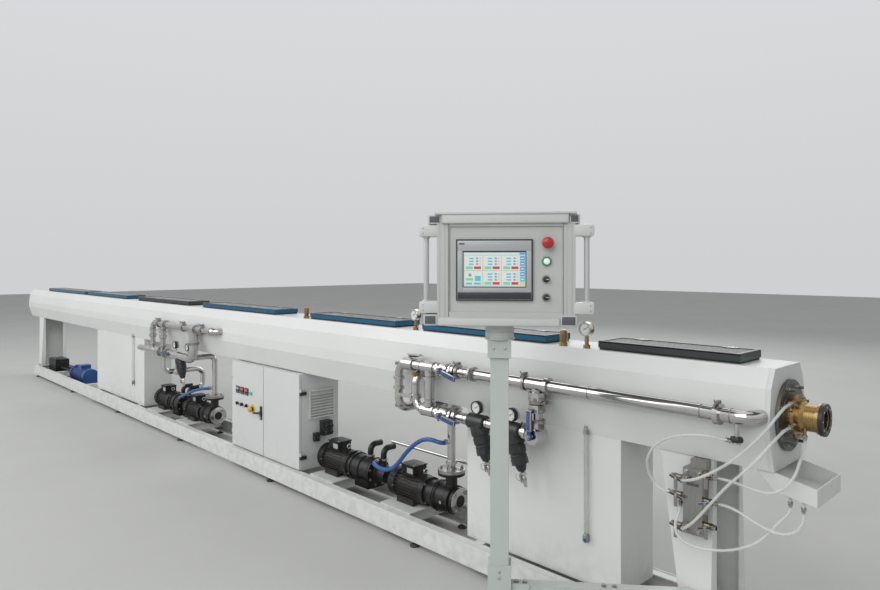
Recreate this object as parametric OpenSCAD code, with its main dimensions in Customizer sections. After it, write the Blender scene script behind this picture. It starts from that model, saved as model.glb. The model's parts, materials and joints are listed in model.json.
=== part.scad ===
/* [Tank shell] */
// Length of the tank over its end plates
tank_l = 9200; // [8800:50:9600]
// Height of the pipe line above the floor
axis_z = 900; // [860:5:1000]
// Top of the shell above the pipe line
deck_rise = 165; // [150:1:185]
// Underside of the shell below the pipe line
base_drop = 170; // [155:1:190]
// Half width of the flat deck
deck_half = 112; // [110:1:125]
// Half width at the upper fold of the side panels
fold_half = 148; // [140:1:155]
// Drop from the deck to the upper fold
fold_drop = 63; // [50:1:80]
// Half width at the belly
belly_half = 160; // [156:1:180]
// Top of the belly above the pipe line
belly_top = 10; // [0:1:30]
// Bottom of the belly below the pipe line
belly_low = 50; // [35:1:70]
// Half width of the underside
base_half = 122; // [112:1:135]
// Half width of the cooling chamber
chamber_half = 95; // [88:1:98]
// Thickness of the chamber floor
floor_t = 24; // [12:1:40]
// Thickness of the deck plate
deck_t = 10; // [5:1:16]
// Thickness of an end plate
end_t = 16; // [10:1:25]

/* [Lids] */
// Lid lengths, from the die end
lid_lengths = [560, 780, 810, 1080, 1080, 1150, 1400];
// Distance of each lid's middle from the die end of the tank
lid_stations = [400, 1330, 2340, 3710, 5050, 6465, 7840];
// Half width of the lid openings in the deck
opening_half = 72; // [60:1:76]
// How far a lid reaches past its opening at each end
lid_lap = 35; // [20:1:45]
// Front edge of a lid, from the tank's centre line
lid_front = 92; // [86:1:100]
// Rear edge of a lid, from the tank's centre line
lid_rear = 87; // [82:1:90]
// Thickness of a lid plate
lid_t = 25; // [15:1:30]
// Thickness of the rubber seal under a lid
seal_t = 8; // [4:1:12]
// Distance of the hinge axis from the tank's centre line
hinge_y = 103; // [102:0.5:104]
// Radius of a lid hinge pin
hinge_pin_r = 3; // [2.5:0.5:3.5]
// Share of the lid length between its two hinges
hinge_share = 0.64; // [0.5:0.02:0.8]

/* [Die end] */
// Radius of the pipe bore through the sizing sleeve
sleeve_bore_r = 32; // [20:0.5:33]
// Radius of the sleeve's brass body
sleeve_body_r = 44; // [40:0.5:50]
// Radius of the sleeve inside the tank
sleeve_tube_r = 38; // [36:0.5:41]
// Length of the sleeve inside the tank
sleeve_tube_l = 185; // [120:5:240]
// Radius of the boss behind the sleeve's disc
sleeve_boss_r = 62; // [56:1:66]
// Radius of the sleeve's water disc
sleeve_disc_r = 74; // [70:1:80]
// Length of the sleeve in front of the end flange
sleeve_front_l = 106; // [96:1:112]
// Radius of the end flange
flange_r = 119; // [112:1:124]
// Thickness of the end flange
flange_t = 12; // [8:1:14]
// Pitch circle of the flange studs
stud_pcd = 196; // [190:1:206]
// Number of flange studs
stud_count = 8; // [6:2:12]
// Radius of a flange stud
stud_r = 5; // [4:0.5:6]
// Length of a stud in front of the flange
stud_l = 24; // [16:1:30]
// Reach of the drip tray past the end plate
tray_reach = 126; // [124:1:160]
// Depth of the drip tray below the tank at its front
tray_deep = 84; // [76:1:100]
// Half width of the drip tray
tray_half = 116; // [100:1:120]
// Sheet thickness of the drip tray
tray_wall = 4; // [3:1:6]
// Radius of the pipe bore in the outlet end
outlet_bore_r = 33; // [30:0.5:40]
// Radius of the outlet seal housing
outlet_ring_r = 105; // [90:1:115]
// Reach of the outlet seal housing past the tank's end
outlet_reach = 12; // [8:1:30]

/* [Pipe rollers] */
// Groove bottom radius of a roller
roller_core_r = 24; // [18:1:28]
// Rim radius of a roller
roller_rim_r = 38; // [34:1:40]
// Half length of a roller
roller_half = 44; // [36:1:50]
// Radius of the pipe that runs on the rollers
product_r = 31.5; // [25:0.5:31.5]
// Radius of a spray pipe
spray_r = 9; // [6:1:11]

/* [Base frame] */
// Top of the base rails above the floor
rail_top = 130; // [120:1:150]
// Height of a base rail
rail_h = 100; // [80:1:110]
// Width of a base rail
rail_w = 50; // [40:1:60]
// Outer half width over the base rails
rail_half = 195; // [190:1:205]
// Sheet thickness of the folded rails and cross members
rail_t = 6; // [4:1:8]
// Height of the lip along the top outer edge of a rail
rail_lip = 3; // [2:0.5:5]
// Distance of the rail ends from the die end of the tank
rail_inset = 170; // [100:5:190]
// Distance of the rail ends from the outlet end of the tank
rail_outlet_inset = 400; // [350:5:450]
// Number of levelling feet on a rail
foot_count = 7; // [5:1:9]
// Radius of a levelling foot
foot_r = 25; // [20:1:25]
// Sheet thickness of a leg
leg_t = 5; // [4:1:8]
// Width of the folded edges beside a leg's open side
leg_return = 21; // [16:1:28]
// Distance from the die end to the straight edge of the leg there
leg_inset = 200; // [195:5:260]
// Distance from the outlet end to the straight edge of the other leg
outlet_leg_inset = 535; // [520:5:560]
// Width of a leg where it meets the tank
leg_top_w = 200; // [150:5:230]
// Width of a leg at its foot
leg_foot_w = 100; // [80:5:140]
// Half depth of a leg where it meets the tank
leg_top_half = 117; // [100:1:120]
// Half depth of a leg at its foot
leg_foot_half = 146; // [130:1:150]
// Thickness of the plate under a leg
leg_plate_t = 8; // [6:1:12]

/* [Water boxes] */
// Distance from the die end to the first water box
box_inset = 560; // [500:5:620]
// Length of the first water box
box_l = 812; // [700:5:900]
// Distance from the die end to the second water box
outlet_box_inset = 5364; // [5300:5:5450]
// Length of the second water box
outlet_box_l = 1265; // [1000:5:1300]
// Half depth of a water box
box_half = 122; // [100:1:122]

/* [Control cabinet] */
// Distance from the die end to the cabinet
cabinet_inset = 2765; // [2700:5:2850]
// Width of the cabinet
cabinet_w = 862; // [760:2:900]
// Front of the cabinet doors, from the tank's centre line
cabinet_front = 160; // [155:1:168]
// Rear of the cabinet, from the tank's centre line
cabinet_rear = 132; // [110:1:140]
// Height of the cabinet
cabinet_h = 594; // [520:2:594]
// Wall of the cabinet
cabinet_wall = 12; // [6:1:18]
// Thickness of a door leaf
door_t = 16; // [12:1:20]
// Gap between the door leaves
door_gap = 6; // [5:1:8]
// Gap between door and carcass
door_seal = 2; // [2:0.5:4]
// Radius of the door hinge barrels
barrel_r = 6; // [5:0.5:7]
// Half height of a door hinge
barrel_half = 20; // [16:1:28]

/* [Pumps] */
// Height of the pump shafts above the plates they stand on
shaft_h = 82; // [80:1:110]
// Radius of a motor over its ribs
motor_r = 78; // [70:1:78]
// Depth of the cooling ribs
rib_h = 12; // [8:1:16]
// Length of a motor
motor_l = 268; // [240:2:300]
// Thickness of a pump plate
plate_t = 6; // [4:1:10]
// Radius of a water pump casing
volute_r = 78; // [70:1:79]
// Radius of a vacuum pump casing
vacuum_r = 80; // [72:1:81]
// Length of a vacuum pump casing
vacuum_l = 236; // [200:2:260]

/* [Pipework] */
// Outer radius of the main pipes
pipe_r = 24.15; // [21:0.05:27]
// Outer radius of the pump riser
riser_r = 20.5; // [17:0.5:23]
// Distance of the main pipes from the tank's centre line
pipe_y = 210; // [200:1:225]
// Height of the upper pipe above the pipe line
upper_rise = 12; // [0:1:20]
// Depth of the lower pipe below the pipe line
lower_drop = 196; // [190:1:205]
// Bend radius of the elbows
bend_r = 57; // [50:1:62]
// Length of a ball valve lever
lever_l = 110; // [90:1:130]
// Outer radius of a clear hose
hose_r = 5; // [4:0.5:5.5]
// Outer radius of a pump hose
pump_hose_r = 11; // [9:0.5:12]

/* [Operator stand] */
// Distance of the post from the die end of the tank
post_inset = 770; // [700:5:850]
// Distance of the post from the tank's centre line
post_y = 586; // [560:2:640]
// Side of the square post
post_w = 65; // [60:1:72]
// Height of the underside of the panel
panel_z = 1194; // [1150:2:1250]
// Side of the sleeves at the foot and the top of the post
sleeve_w = 83; // [80:1:90]
// Height of the sleeve at the foot of the post
sleeve_h = 341; // [300:1:360]
// Side of the foot plate
foot_plate = 300; // [260:10:340]
// Thickness of the foot plate
foot_plate_t = 12; // [8:1:16]
// Side of the square arm between stand and tank
arm_w = 50; // [40:2:60]
// Height of the middle of the arm
arm_z = 245; // [200:5:300]
// Angle that the panel and its post are turned towards the die end
panel_yaw = 40; // [0:1:50]
// Distance of the panel's middle from the post, towards its right
panel_shift = 22; // [10:1:30]
// Width of the panel housing
panel_w = 473; // [440:1:500]
// Height of the panel housing
panel_h = 387; // [360:1:420]
// Front of the panel housing, from the post's axis
panel_front = 100; // [90:1:110]
// Rear of the panel housing, from the post's axis
panel_back = 40; // [30:1:60]
// Width of the side profiles of the panel
column_w = 43; // [36:1:50]
// Height of the profiles above and below the front plate
strip_h = 46; // [40:1:52]
// Width of the panel over its grips
grip_span = 596; // [580:2:640]
// Radius of a grip bar
grip_r = 9; // [7:1:12]
// Radius of the swivel under the panel
swivel_r = 51; // [46:1:56]

/* [Hidden] */
$fn = 40;
die_x = tank_l / 2;
deck_z = axis_z + deck_rise;
base_z = axis_z - base_drop;
fold_z = deck_z - fold_drop;
inner_x = die_x - end_t;
lid_z = deck_z + seal_t;
hinge_z = deck_z + 20;
lid_count = len(lid_lengths);
hinge_half = 20;
knuckle_half = 11;
running_gap = 0.05;
seat_gap = 0.3;
hollow_r = sleeve_tube_r + 4;
rail_in = rail_half - rail_w;
rail_low = rail_top - rail_h;
post_x = die_x - post_inset;
upper_z = axis_z + upper_rise;
lower_z = axis_z - lower_drop;
plate_top = rail_top + plate_t;
shaft_z = plate_top + shaft_h;
cabinet_x1 = die_x - cabinet_inset;
cabinet_x0 = cabinet_x1 - cabinet_w;
cabinet_top = rail_top + cabinet_h;
door_z0 = rail_top + rail_lip + 5;
door_z1 = cabinet_top - 2;
door_mid = (cabinet_x0 + cabinet_x1) / 2;
door_axis_out = barrel_r + 1;
door_axis_y = -cabinet_front + door_t / 2;
grip_left = grip_span / 2 - panel_shift;
stand_front = post_y + max(foot_plate / 2 * (sin(panel_yaw) + cos(panel_yaw)),
    grip_left * sin(panel_yaw) + panel_front * cos(panel_yaw));
mid_x = (tray_reach - outlet_reach) / 2;
mid_y = (rail_half - stand_front) / 2;

// Moves the tank's own axes so that the origin is on the floor in the middle of the whole machine.
module place() translate([-mid_x, -mid_y, 0]) children();

module bar_x(x0, x1, y, z, r)
    translate([x0, y, z]) rotate([0, 90, 0]) cylinder(h = x1 - x0, r = r);

module bar_y(x, y0, y1, z, r)
    translate([x, y1, z]) rotate([90, 0, 0]) cylinder(h = y1 - y0, r = r);

module bar_z(x, y, z0, z1, r)
    translate([x, y, z0]) cylinder(h = z1 - z0, r = r);

module block(x0, x1, y0, y1, z0, z1)
    translate([x0, y0, z0]) cube([x1 - x0, y1 - y0, z1 - z0]);

// Turns an outline drawn in Y and Z into a bar along X.
module along_x(x0, x1)
    translate([x0, 0, 0]) rotate([90, 0, 90]) linear_extrude(x1 - x0) children();

// Turns an outline drawn in X and Z into a bar along Y.
module along_y(y0, y1)
    translate([0, y1, 0]) rotate([90, 0, 0]) linear_extrude(y1 - y0) children();

// A quarter bend with its corner at the origin, from its -X leg to its +Z leg.
module bend(radius, r)
    translate([-radius, 0, radius]) rotate([90, 0, 0]) rotate([0, 0, -90])
        rotate_extrude(angle = 90) translate([radius, 0]) circle(r);

function lerp(a, b, t) = a + (b - a) * t;

// Front half of the shell's outline, from the deck down to the underside.
function side_outline(s) = [[s * deck_half, deck_z], [s * fold_half, fold_z],
    [s * belly_half, axis_z + belly_top], [s * belly_half, axis_z - belly_low],
    [s * base_half, base_z]];

function wall_outline(s) = concat(side_outline(s), [[s * chamber_half, base_z],
    [s * chamber_half, deck_z - deck_t], [s * opening_half, deck_z - deck_t],
    [s * opening_half, deck_z]]);

function lid_x(i) = die_x - lid_stations[i];
function lid_x0(i) = lid_x(i) - lid_lengths[i] / 2;
function lid_x1(i) = lid_x(i) + lid_lengths[i] / 2;
function opening_x0(i) = lid_x0(i) + lid_lap;
function opening_x1(i) = lid_x1(i) - lid_lap;

module tank_wall(s) along_x(-inner_x, inner_x) polygon(wall_outline(s));

module tank_front_wall() place() color("#dfe0dc") tank_wall(-1);
module tank_rear_wall() place() color("#dfe0dc") tank_wall(1);

module tank_floor() place() color("#b9bcbe")
    block(-inner_x, inner_x, -chamber_half, chamber_half, base_z, base_z + floor_t);

// The deck plates between and beside the lid openings.
module deck_bridges() place() color("#dfe0dc")
    for (i = [0 : lid_count]) {
        x1 = i == 0 ? inner_x : opening_x0(i - 1);
        x0 = i == lid_count ? -inner_x : opening_x1(i);
        block(x0, x1, -opening_half, opening_half, deck_z - deck_t, deck_z);
    }

module shell_outline() polygon(concat(side_outline(-1), [for (i = [4 : -1 : 0]) side_outline(1)[i]]));

// Cuts off what reaches into the tank, so that a pipe ends on its sloping side.
module up_to_tank() difference() {
    children();
    along_x(-die_x, die_x) shell_outline();
}

module inlet_end_plate() place() color("#c9ccc8")
    difference() {
        along_x(inner_x, die_x) shell_outline();
        bar_x(inner_x - 1, die_x + 1, 0, axis_z, hollow_r);
    }

// The outlet end with its round seal housing.
module outlet_end_plate() place() color("#c9ccc8")
    difference() {
        union() {
            along_x(-die_x, -inner_x) shell_outline();
            bar_x(-die_x - outlet_reach, -die_x + 1, 0, axis_z, outlet_ring_r);
        }
        bar_x(-die_x - outlet_reach - 1, -inner_x + 1, 0, axis_z, outlet_bore_r);
    }

module inlet_flange() place() color("#5c5e5e") {
    difference() {
        bar_x(die_x, die_x + flange_t, 0, axis_z, flange_r);
        bar_x(die_x - 1, die_x + flange_t + 1, 0, axis_z, hollow_r);
    }
    for (i = [0 : stud_count - 1])
        translate([die_x + flange_t - 2, 0, axis_z]) rotate([(i + 0.5) * 360 / stud_count, 0, 0])
            translate([0, 0, stud_pcd / 2]) rotate([0, 90, 0]) cylinder(h = stud_l + 2, r = stud_r);
}

boss_l = 17;
disc_l = 10;
ring_l = 22;
disc_x = die_x + flange_t + boss_l + disc_l / 2;
// Half outline of the sizing sleeve: radius against distance from the flange face.
function sleeve_outline() = [
    [sleeve_bore_r, -sleeve_tube_l - flange_t], [sleeve_tube_r, -sleeve_tube_l - flange_t],
    [sleeve_tube_r, 0], [sleeve_boss_r, 0], [sleeve_boss_r, boss_l], [sleeve_disc_r, boss_l],
    [sleeve_disc_r, boss_l + disc_l], [sleeve_body_r + 8, boss_l + disc_l], [sleeve_body_r + 8, 40],
    [sleeve_body_r, 48], [sleeve_body_r, sleeve_front_l - ring_l],
    [sleeve_body_r + 6, sleeve_front_l - ring_l], [sleeve_body_r + 6, sleeve_front_l],
    [sleeve_bore_r + 5, sleeve_front_l], [sleeve_bore_r, sleeve_front_l - 6]];

// Hose nipples: two on the edge of the disc, one below the body.
nipple_r = 5;
nipple_y = -76;
sleeve_drain_x = die_x + 62;
sleeve_drain_y = -30;
sleeve_drain_z = axis_z - 55;
module sizing_sleeve() place() color("#b08d4a") {
    translate([die_x + flange_t, 0, axis_z]) rotate([0, 90, 0]) rotate_extrude($fn = 64)
        polygon(sleeve_outline());
    for (z = [axis_z + 50, axis_z - 25])
        difference() {
            bar_y(disc_x, nipple_y, -40, z, nipple_r);
            bar_x(die_x, die_x + sleeve_front_l, 0, axis_z, sleeve_body_r);
        }
    difference() {
        bar_z(sleeve_drain_x, sleeve_drain_y, sleeve_drain_z, axis_z - 20, nipple_r);
        bar_x(die_x, die_x + sleeve_front_l, 0, axis_z, sleeve_body_r - 4);
    }
}

tray_back = 60;
tray_step = 64;
tray_rim = 28;
tray_nipples = [[40, -97, 90], [80, -97, 100]];
function tray_floor(x) = base_z - lerp(tray_step, tray_deep, x / tray_reach);
// An open tray under the sleeve: sloping floor, front wall and side walls, closed by the tank's end.
module drip_tray() place() color("#c4c8c4") {
    difference() {
        translate([die_x, 0, base_z]) along_y(-tray_half, tray_half)
            polygon([[-tray_back, 0], [0, -tray_step], [tray_reach, -tray_deep], [tray_reach, -tray_rim], [0, 0]]);
        translate([die_x, 0, base_z]) along_y(-tray_half + tray_wall, tray_half - tray_wall)
            polygon([[-tray_back + 2 * tray_wall, 1], [-tray_back + 2 * tray_wall, -1],
                [tray_wall / 2, -tray_step + tray_wall + 1], [tray_reach - tray_wall, -tray_deep + tray_wall + 0.5],
                [tray_reach - tray_wall, 1]]);
    }
    for (n = tray_nipples)
        bar_z(die_x + n[0], n[1], base_z - n[2], tray_floor(n[0]) + 1, nipple_r);
}

function roller_x(i) = (opening_x0(i) + opening_x1(i + 1)) / 2;

module roller() rotate([90, 0, 0]) difference() {
    cylinder(h = 2 * roller_half, r = roller_rim_r, center = true);
    rotate_extrude() translate([roller_core_r + product_r, 0]) circle(product_r, $fn = 48);
}

// Grooved rollers under the deck bridges, each on a shaft from wall to wall.
module pipe_rollers() place() color("#d8d8d2")
    for (i = [0 : lid_count - 2])
        translate([roller_x(i), 0, axis_z - product_r - roller_core_r]) {
            roller();
            rotate([90, 0, 0]) cylinder(h = 2 * chamber_half, r = 8, center = true);
        }

module spray_pipes() place() color("#b9bcbe")
    for (s = [-1, 1])
        bar_x(-inner_x, inner_x, s * (chamber_half - spray_r - 1), deck_z - deck_t - spray_r - 6, spray_r);

module lid_seals() place() color("#202223")
    for (i = [0 : lid_count - 1])
        difference() {
            block(lid_x0(i) + 4, lid_x1(i) - 4, -lid_front + 4, lid_rear - 4, deck_z, lid_z);
            block(opening_x0(i) - 2, opening_x1(i) + 2, -opening_half - 2, opening_half + 2,
                deck_z - 1, lid_z + 1);
        }

// Fixed hinge halves on the deck: two ears and a pin each.
module lid_hinges() place() color("#a9adb0")
    for (i = [0 : lid_count - 1], s = [-1, 1])
        translate([lid_x(i) + s * lid_lengths[i] * hinge_share / 2, 0, 0]) {
            for (e = [-1, 1])
                translate([e * (hinge_half - 4), 0, 0])
                    block(-4, 4, hinge_y - 6, hinge_y + 6, deck_z, hinge_z + 6);
            bar_x(-hinge_half + 2, hinge_half - 2, hinge_y, hinge_z, hinge_pin_r);
        }

// A clear plate with a chamfered front edge, carried by two knuckles.
module lid(i) place() color("#3d7f8c") {
    along_x(lid_x0(i), lid_x1(i))
        polygon([[-lid_front, lid_z], [lid_rear, lid_z], [lid_rear, lid_z + lid_t],
            [-lid_front + 4, lid_z + lid_t], [-lid_front, lid_z + lid_t - 4]]);
    for (s = [-1, 1])
        translate([lid_x(i) + s * lid_lengths[i] * hinge_share / 2, 0, 0])
            difference() {
                union() {
                    bar_x(-knuckle_half, knuckle_half, hinge_y, hinge_z, 6);
                    block(-knuckle_half, knuckle_half, lid_rear - 1, hinge_y, hinge_z - 4, hinge_z + 4);
                }
                bar_x(-knuckle_half - 1, knuckle_half + 1, hinge_y, hinge_z, hinge_pin_r + running_gap);
            }
}

module lid_1() lid(0);
module lid_2() lid(1);
module lid_3() lid(2);
module lid_4() lid(3);
module lid_5() lid(4);
module lid_6() lid(5);
module lid_7() lid(6);

// Vacuum gauges on stubs and brass relief valves, on the deck between the lids.
gauge_r = 28;
gauge_x = [lid_x(0) - 335, lid_x(1) - 440];
relief_x = [lid_x(0) - 450, lid_x(2) - 450];
module deck_fittings() place() color("#b08d4a") {
    for (x = gauge_x) {
        bar_z(x, -90, deck_z, deck_z + 52, 8);
        bar_z(x, -90, deck_z, deck_z + 14, 14);
        bar_y(x, -104, -78, deck_z + 50 + gauge_r, gauge_r);
    }
    for (x = relief_x) {
        bar_z(x, -88, deck_z, deck_z + 40, 11);
        bar_z(x, -88, deck_z + 39, deck_z + 62, 15);
    }
}

// A leg's outline, smaller by t on every side, with one straight edge at x.
module leg_body(x, t) intersection() {
    z0 = rail_top + leg_plate_t;
    rise = base_z - z0;
    grow = (leg_top_w - leg_foot_w) / rise;
    lean = (leg_foot_half - leg_top_half) / rise;
    along_y(-300, 300) polygon([[x - t, base_z + t], [x - leg_top_w + t - grow * t, base_z + t],
        [x - leg_foot_w + t + grow * t, z0 - t], [x - t, z0 - t]]);
    along_x(x - 400, x + 10) polygon([[-leg_top_half + t + lean * t, base_z + t],
        [leg_top_half - t - lean * t, base_z + t], [leg_foot_half - t + lean * t, z0 - t],
        [-leg_foot_half + t - lean * t, z0 - t]]);
}

// A folded channel, open to the die end between two narrow returns, welded on a foot plate.
module leg(x) {
    difference() {
        leg_body(x, 0);
        leg_body(x, leg_t);
        block(x - leg_t - 1, x + 1, -leg_top_half + leg_return, leg_top_half - leg_return, rail_top, base_z + 1);
    }
    block(x - leg_foot_w - 20, x + 10, -leg_foot_half - 20, leg_foot_half + 20, rail_top, rail_top + leg_plate_t);
}

leg_x = [die_x - leg_inset, -die_x + outlet_leg_inset];
module legs() place() color("#dfe0dc")
    for (x = leg_x) leg(x);

box_x = [die_x - box_inset - box_l, die_x - outlet_box_inset - outlet_box_l];
box_lengths = [box_l, outlet_box_l];
// Two closed tanks for the process water, each with a flanged lid for cleaning on its front.
module water_boxes() place() color("#dfe0dc")
    for (i = [0, 1])
        block(box_x[i], box_x[i] + box_lengths[i], -box_half, box_half, rail_top, base_z);

// Folded C profiles, open to the inside, with a small lip along the top outer edge.
module base_rails() place() color("#dfe0dc")
    for (s = [-1, 1]) scale_y(s)
        along_x(-die_x + rail_outlet_inset, die_x - rail_inset)
            polygon([[rail_in, rail_top], [rail_half - 7, rail_top], [rail_half - 7, rail_top + rail_lip],
                [rail_half, rail_top + rail_lip], [rail_half, rail_low], [rail_in, rail_low],
                [rail_in, rail_low + rail_t], [rail_half - rail_t, rail_low + rail_t],
                [rail_half - rail_t, rail_top - rail_t], [rail_in, rail_top - rail_t]]);

module scale_y(s) mirror([0, s < 0 ? 1 : 0, 0]) children();

// Pump stations: where each motor starts; its pump lies towards the die end.
water_x = [die_x - 2015, die_x - 4650];
vacuum_x = [die_x - 2690, die_x - 5255];
cross_w = 50;
cross_h = 60;
cross_x = concat([for (x = concat(water_x, vacuum_x), d = [60, 210]) x + d],
    [for (x = leg_x) x - leg_foot_w / 2], [for (i = [0, 1], e = [90, box_lengths[i] - 90]) box_x[i] + e],
    [cabinet_x0 + 90, cabinet_x1 - 90, -die_x + 1180, -die_x + 2300]);
module cross_members() place() color("#c4c8c4")
    for (x = cross_x)
        difference() {
            block(x - cross_w / 2, x + cross_w / 2, -rail_in, rail_in, rail_top - cross_h, rail_top);
            block(x - cross_w / 2 + rail_t, x + cross_w / 2 - rail_t, -rail_in - 1, rail_in + 1,
                rail_top - cross_h - 1, rail_top - rail_t);
        }

module levelling_feet() place() color("#2a2c2d")
    for (i = [0 : foot_count - 1], s = [-1, 1]) {
        x = lerp(-die_x + rail_outlet_inset + 120, die_x - rail_inset - 120, i / (foot_count - 1));
        y = s * (rail_half - rail_w / 2);
        bar_z(x, y, 0, 8, foot_r);
        translate([x, y, 7]) cylinder(h = 5, r1 = foot_r, r2 = foot_r - 8);
        bar_z(x, y, 7, rail_low, 8);
        translate([x, y, rail_low - 10]) cylinder(h = 10, r = 14, $fn = 6);
    }

module pump_plates() place() color("#d5d8d4")
    for (x = concat(water_x, vacuum_x))
        block(x + 20, x + motor_l - 10, -rail_in, rail_in, rail_top, plate_top);

// Travel drive: gearbox, two screw shafts and motor on one bed plate between the rails.
bed_z = rail_low + rail_t;
bed_t = 6;
drive_z = rail_top + 18;
drive_x = -die_x + 600;
drive_box_l = 280;
drive_flange_x = -die_x + 1500;
module travel_gearbox() place() color("#2a2c2d") {
    block(drive_x - 30, drive_flange_x + 500, -rail_half + rail_t, rail_half - rail_t, bed_z, bed_z + bed_t);
    block(drive_x, drive_x + drive_box_l, -75, 75, bed_z + bed_t - 1, rail_top + 106);
    block(drive_x - 20, drive_x + drive_box_l + 20, -110, 110, bed_z + bed_t - 1, bed_z + bed_t + 14);
    bar_x(drive_x + drive_box_l - 1, drive_x + drive_box_l + 34, 0, drive_z, 60);
    for (s = [-1, 1])
        bar_x(drive_x + drive_box_l - 1, drive_flange_x, s * 28, drive_z, 12);
}

module travel_motor() place() color("#2f5f93") {
    bar_x(drive_flange_x, drive_flange_x + 24, 0, drive_z, 92);
    bar_x(drive_flange_x + 23, drive_flange_x + 90, 0, drive_z, 70);
    ribbed_bar(drive_flange_x + 89, drive_flange_x + 400, 0, drive_z, 84);
    bar_x(drive_flange_x + 399, drive_flange_x + 460, 0, drive_z, 86);
    block(drive_flange_x + 150, drive_flange_x + 330, -64, 64, bed_z + bed_t, drive_z - 60);
    block(drive_flange_x + 180, drive_flange_x + 290, -50, 50, drive_z + 60, drive_z + 116);
}

module cabinet() place() color("#dfe0dc")
    difference() {
        block(cabinet_x0, cabinet_x1, -cabinet_front + door_t + door_seal, cabinet_rear, rail_top, cabinet_top);
        block(cabinet_x0 + cabinet_wall, cabinet_x1 - cabinet_wall, -cabinet_front,
            cabinet_rear - cabinet_wall, rail_top + cabinet_wall, cabinet_top - cabinet_wall);
    }

hinge_levels = [cabinet_top - 110, rail_top + 90];
module cabinet_hinges() place() color("#202223")
    for (z = hinge_levels, s = [-1, 1]) {
        x = s > 0 ? cabinet_x1 : cabinet_x0;
        bar_z(x + s * door_axis_out, door_axis_y, z - barrel_half, z - seat_gap / 2, barrel_r);
        block(min(x, x + s * 12), max(x, x + s * 12), door_axis_y + 4, door_axis_y + 40,
            z - barrel_half, z - seat_gap / 2);
    }

// A framed grille of sloping slats over the fan outlet on the cabinet's side.
vent_y0 = -92;
vent_y1 = 97;
vent_z = rail_top + 310;
vent_h = 180;
vent_out = 14;
slat_pitch = 18;
module cabinet_vent() place() color("#c4c8c4") {
    difference() {
        block(cabinet_x1, cabinet_x1 + vent_out, vent_y0, vent_y1, vent_z, vent_z + vent_h);
        block(cabinet_x1 + 3, cabinet_x1 + vent_out + 1, vent_y0 + 10, vent_y1 - 10, vent_z + 10,
            vent_z + vent_h - 10);
    }
    for (z = [vent_z + 18 : slat_pitch : vent_z + vent_h - 24])
        along_y(vent_y0 + 9, vent_y1 - 9)
            polygon([[cabinet_x1 + 2, z + 12], [cabinet_x1 + vent_out, z], [cabinet_x1 + vent_out, z + 3],
                [cabinet_x1 + 2, z + 15]]);
}

module cabinet_sockets() place() color("#202223") {
    block(cabinet_x1, cabinet_x1 + 45, -10, 60, rail_top + 200, rail_top + 290);
    block(cabinet_x1, cabinet_x1 + 30, -60, -25, rail_top + 170, rail_top + 220);
}

module door_leaf(x0, x1) color("#e4e5e1")
    block(x0, x1, -cabinet_front, -cabinet_front + door_t, door_z0, door_z1);

module door_barrels(x, s) color("#202223")
    for (z = hinge_levels) {
        bar_z(x + s * door_axis_out, door_axis_y, z + seat_gap / 2, z + barrel_half, barrel_r);
        block(min(x - s * 2, x + s * door_axis_out), max(x - s * 2, x + s * door_axis_out),
            -cabinet_front, -cabinet_front + door_t, z + seat_gap / 2, z + barrel_half);
    }

module door_left() place() {
    door_leaf(cabinet_x0, door_mid - door_gap / 2);
    door_barrels(cabinet_x0, -1);
}
module door_right() place() {
    door_leaf(door_mid + door_gap / 2, cabinet_x1);
    door_barrels(cabinet_x1, 1);
}

// Three meters and a lamp row, three selectors and an emergency stop on the left leaf.
meter_w = 48;
meter_pitch = 62;
meter_z = door_z1 - 215;
module door_controls() place() color("#202223")
    translate([cabinet_x0, -cabinet_front, 0]) {
        for (i = [0 : 3])
            block(60 + i * meter_pitch, 60 + i * meter_pitch + meter_w, -8, 0, meter_z, meter_z + meter_w);
        for (i = [0 : 2]) {
            bar_y(92 + i * 64, -6, 0, door_z1 - 284, 14);
            bar_y(92 + i * 64, -20, -5, door_z1 - 284, 9);
        }
        bar_y(290, -14, 0, door_z1 - 296, 22);
        bar_y(290, -24, -13, door_z1 - 296, 12);
        bar_y(290, -38, -23, door_z1 - 296, 20);
    }

// Swing handle beside the seam, its lever lying along the left leaf.
handle_z = rail_top + 287;
module door_handle() place() color("#202223")
    translate([door_mid - 26, -cabinet_front, handle_z]) {
        block(-14, 14, -8, 0, -43, 42);
        bar_y(0, -20, -7, 0, 11);
        along_y(-30, -19) {
            translate([-62, -7]) square([62, 14]);
            translate([-62, 0]) circle(7);
            circle(11);
        }
    }

// A round bar with cooling ribs along it.
module ribbed_bar(x0, x1, y, z, r)
    translate([0, y, z]) along_x(x0, x1) {
        circle(r - rib_h);
        for (a = [0 : 15 : 165]) rotate(a) square([2 * r, 5], center = true);
    }

cowl_l = 48;
bell_l = 40;
module motor(x, y) {
    bar_x(x, x + cowl_l, y, shaft_z, motor_r);
    ribbed_bar(x + cowl_l - 1, x + motor_l - bell_l + 1, y, shaft_z, motor_r - 2);
    bar_x(x + motor_l - bell_l, x + motor_l, y, shaft_z, motor_r - 4);
    block(x + 80, x + 180, y - 46, y + 46, shaft_z + motor_r - 16, shaft_z + motor_r + 36);
    for (s = [-1, 1])
        block(x + 70, x + 200, min(y + s * 44, y + s * 70), max(y + s * 44, y + s * 70), plate_top, plate_top + 34);
}

module pump_motors() place() color("#33363a")
    for (x = concat(water_x, vacuum_x)) motor(x, 0);

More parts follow.
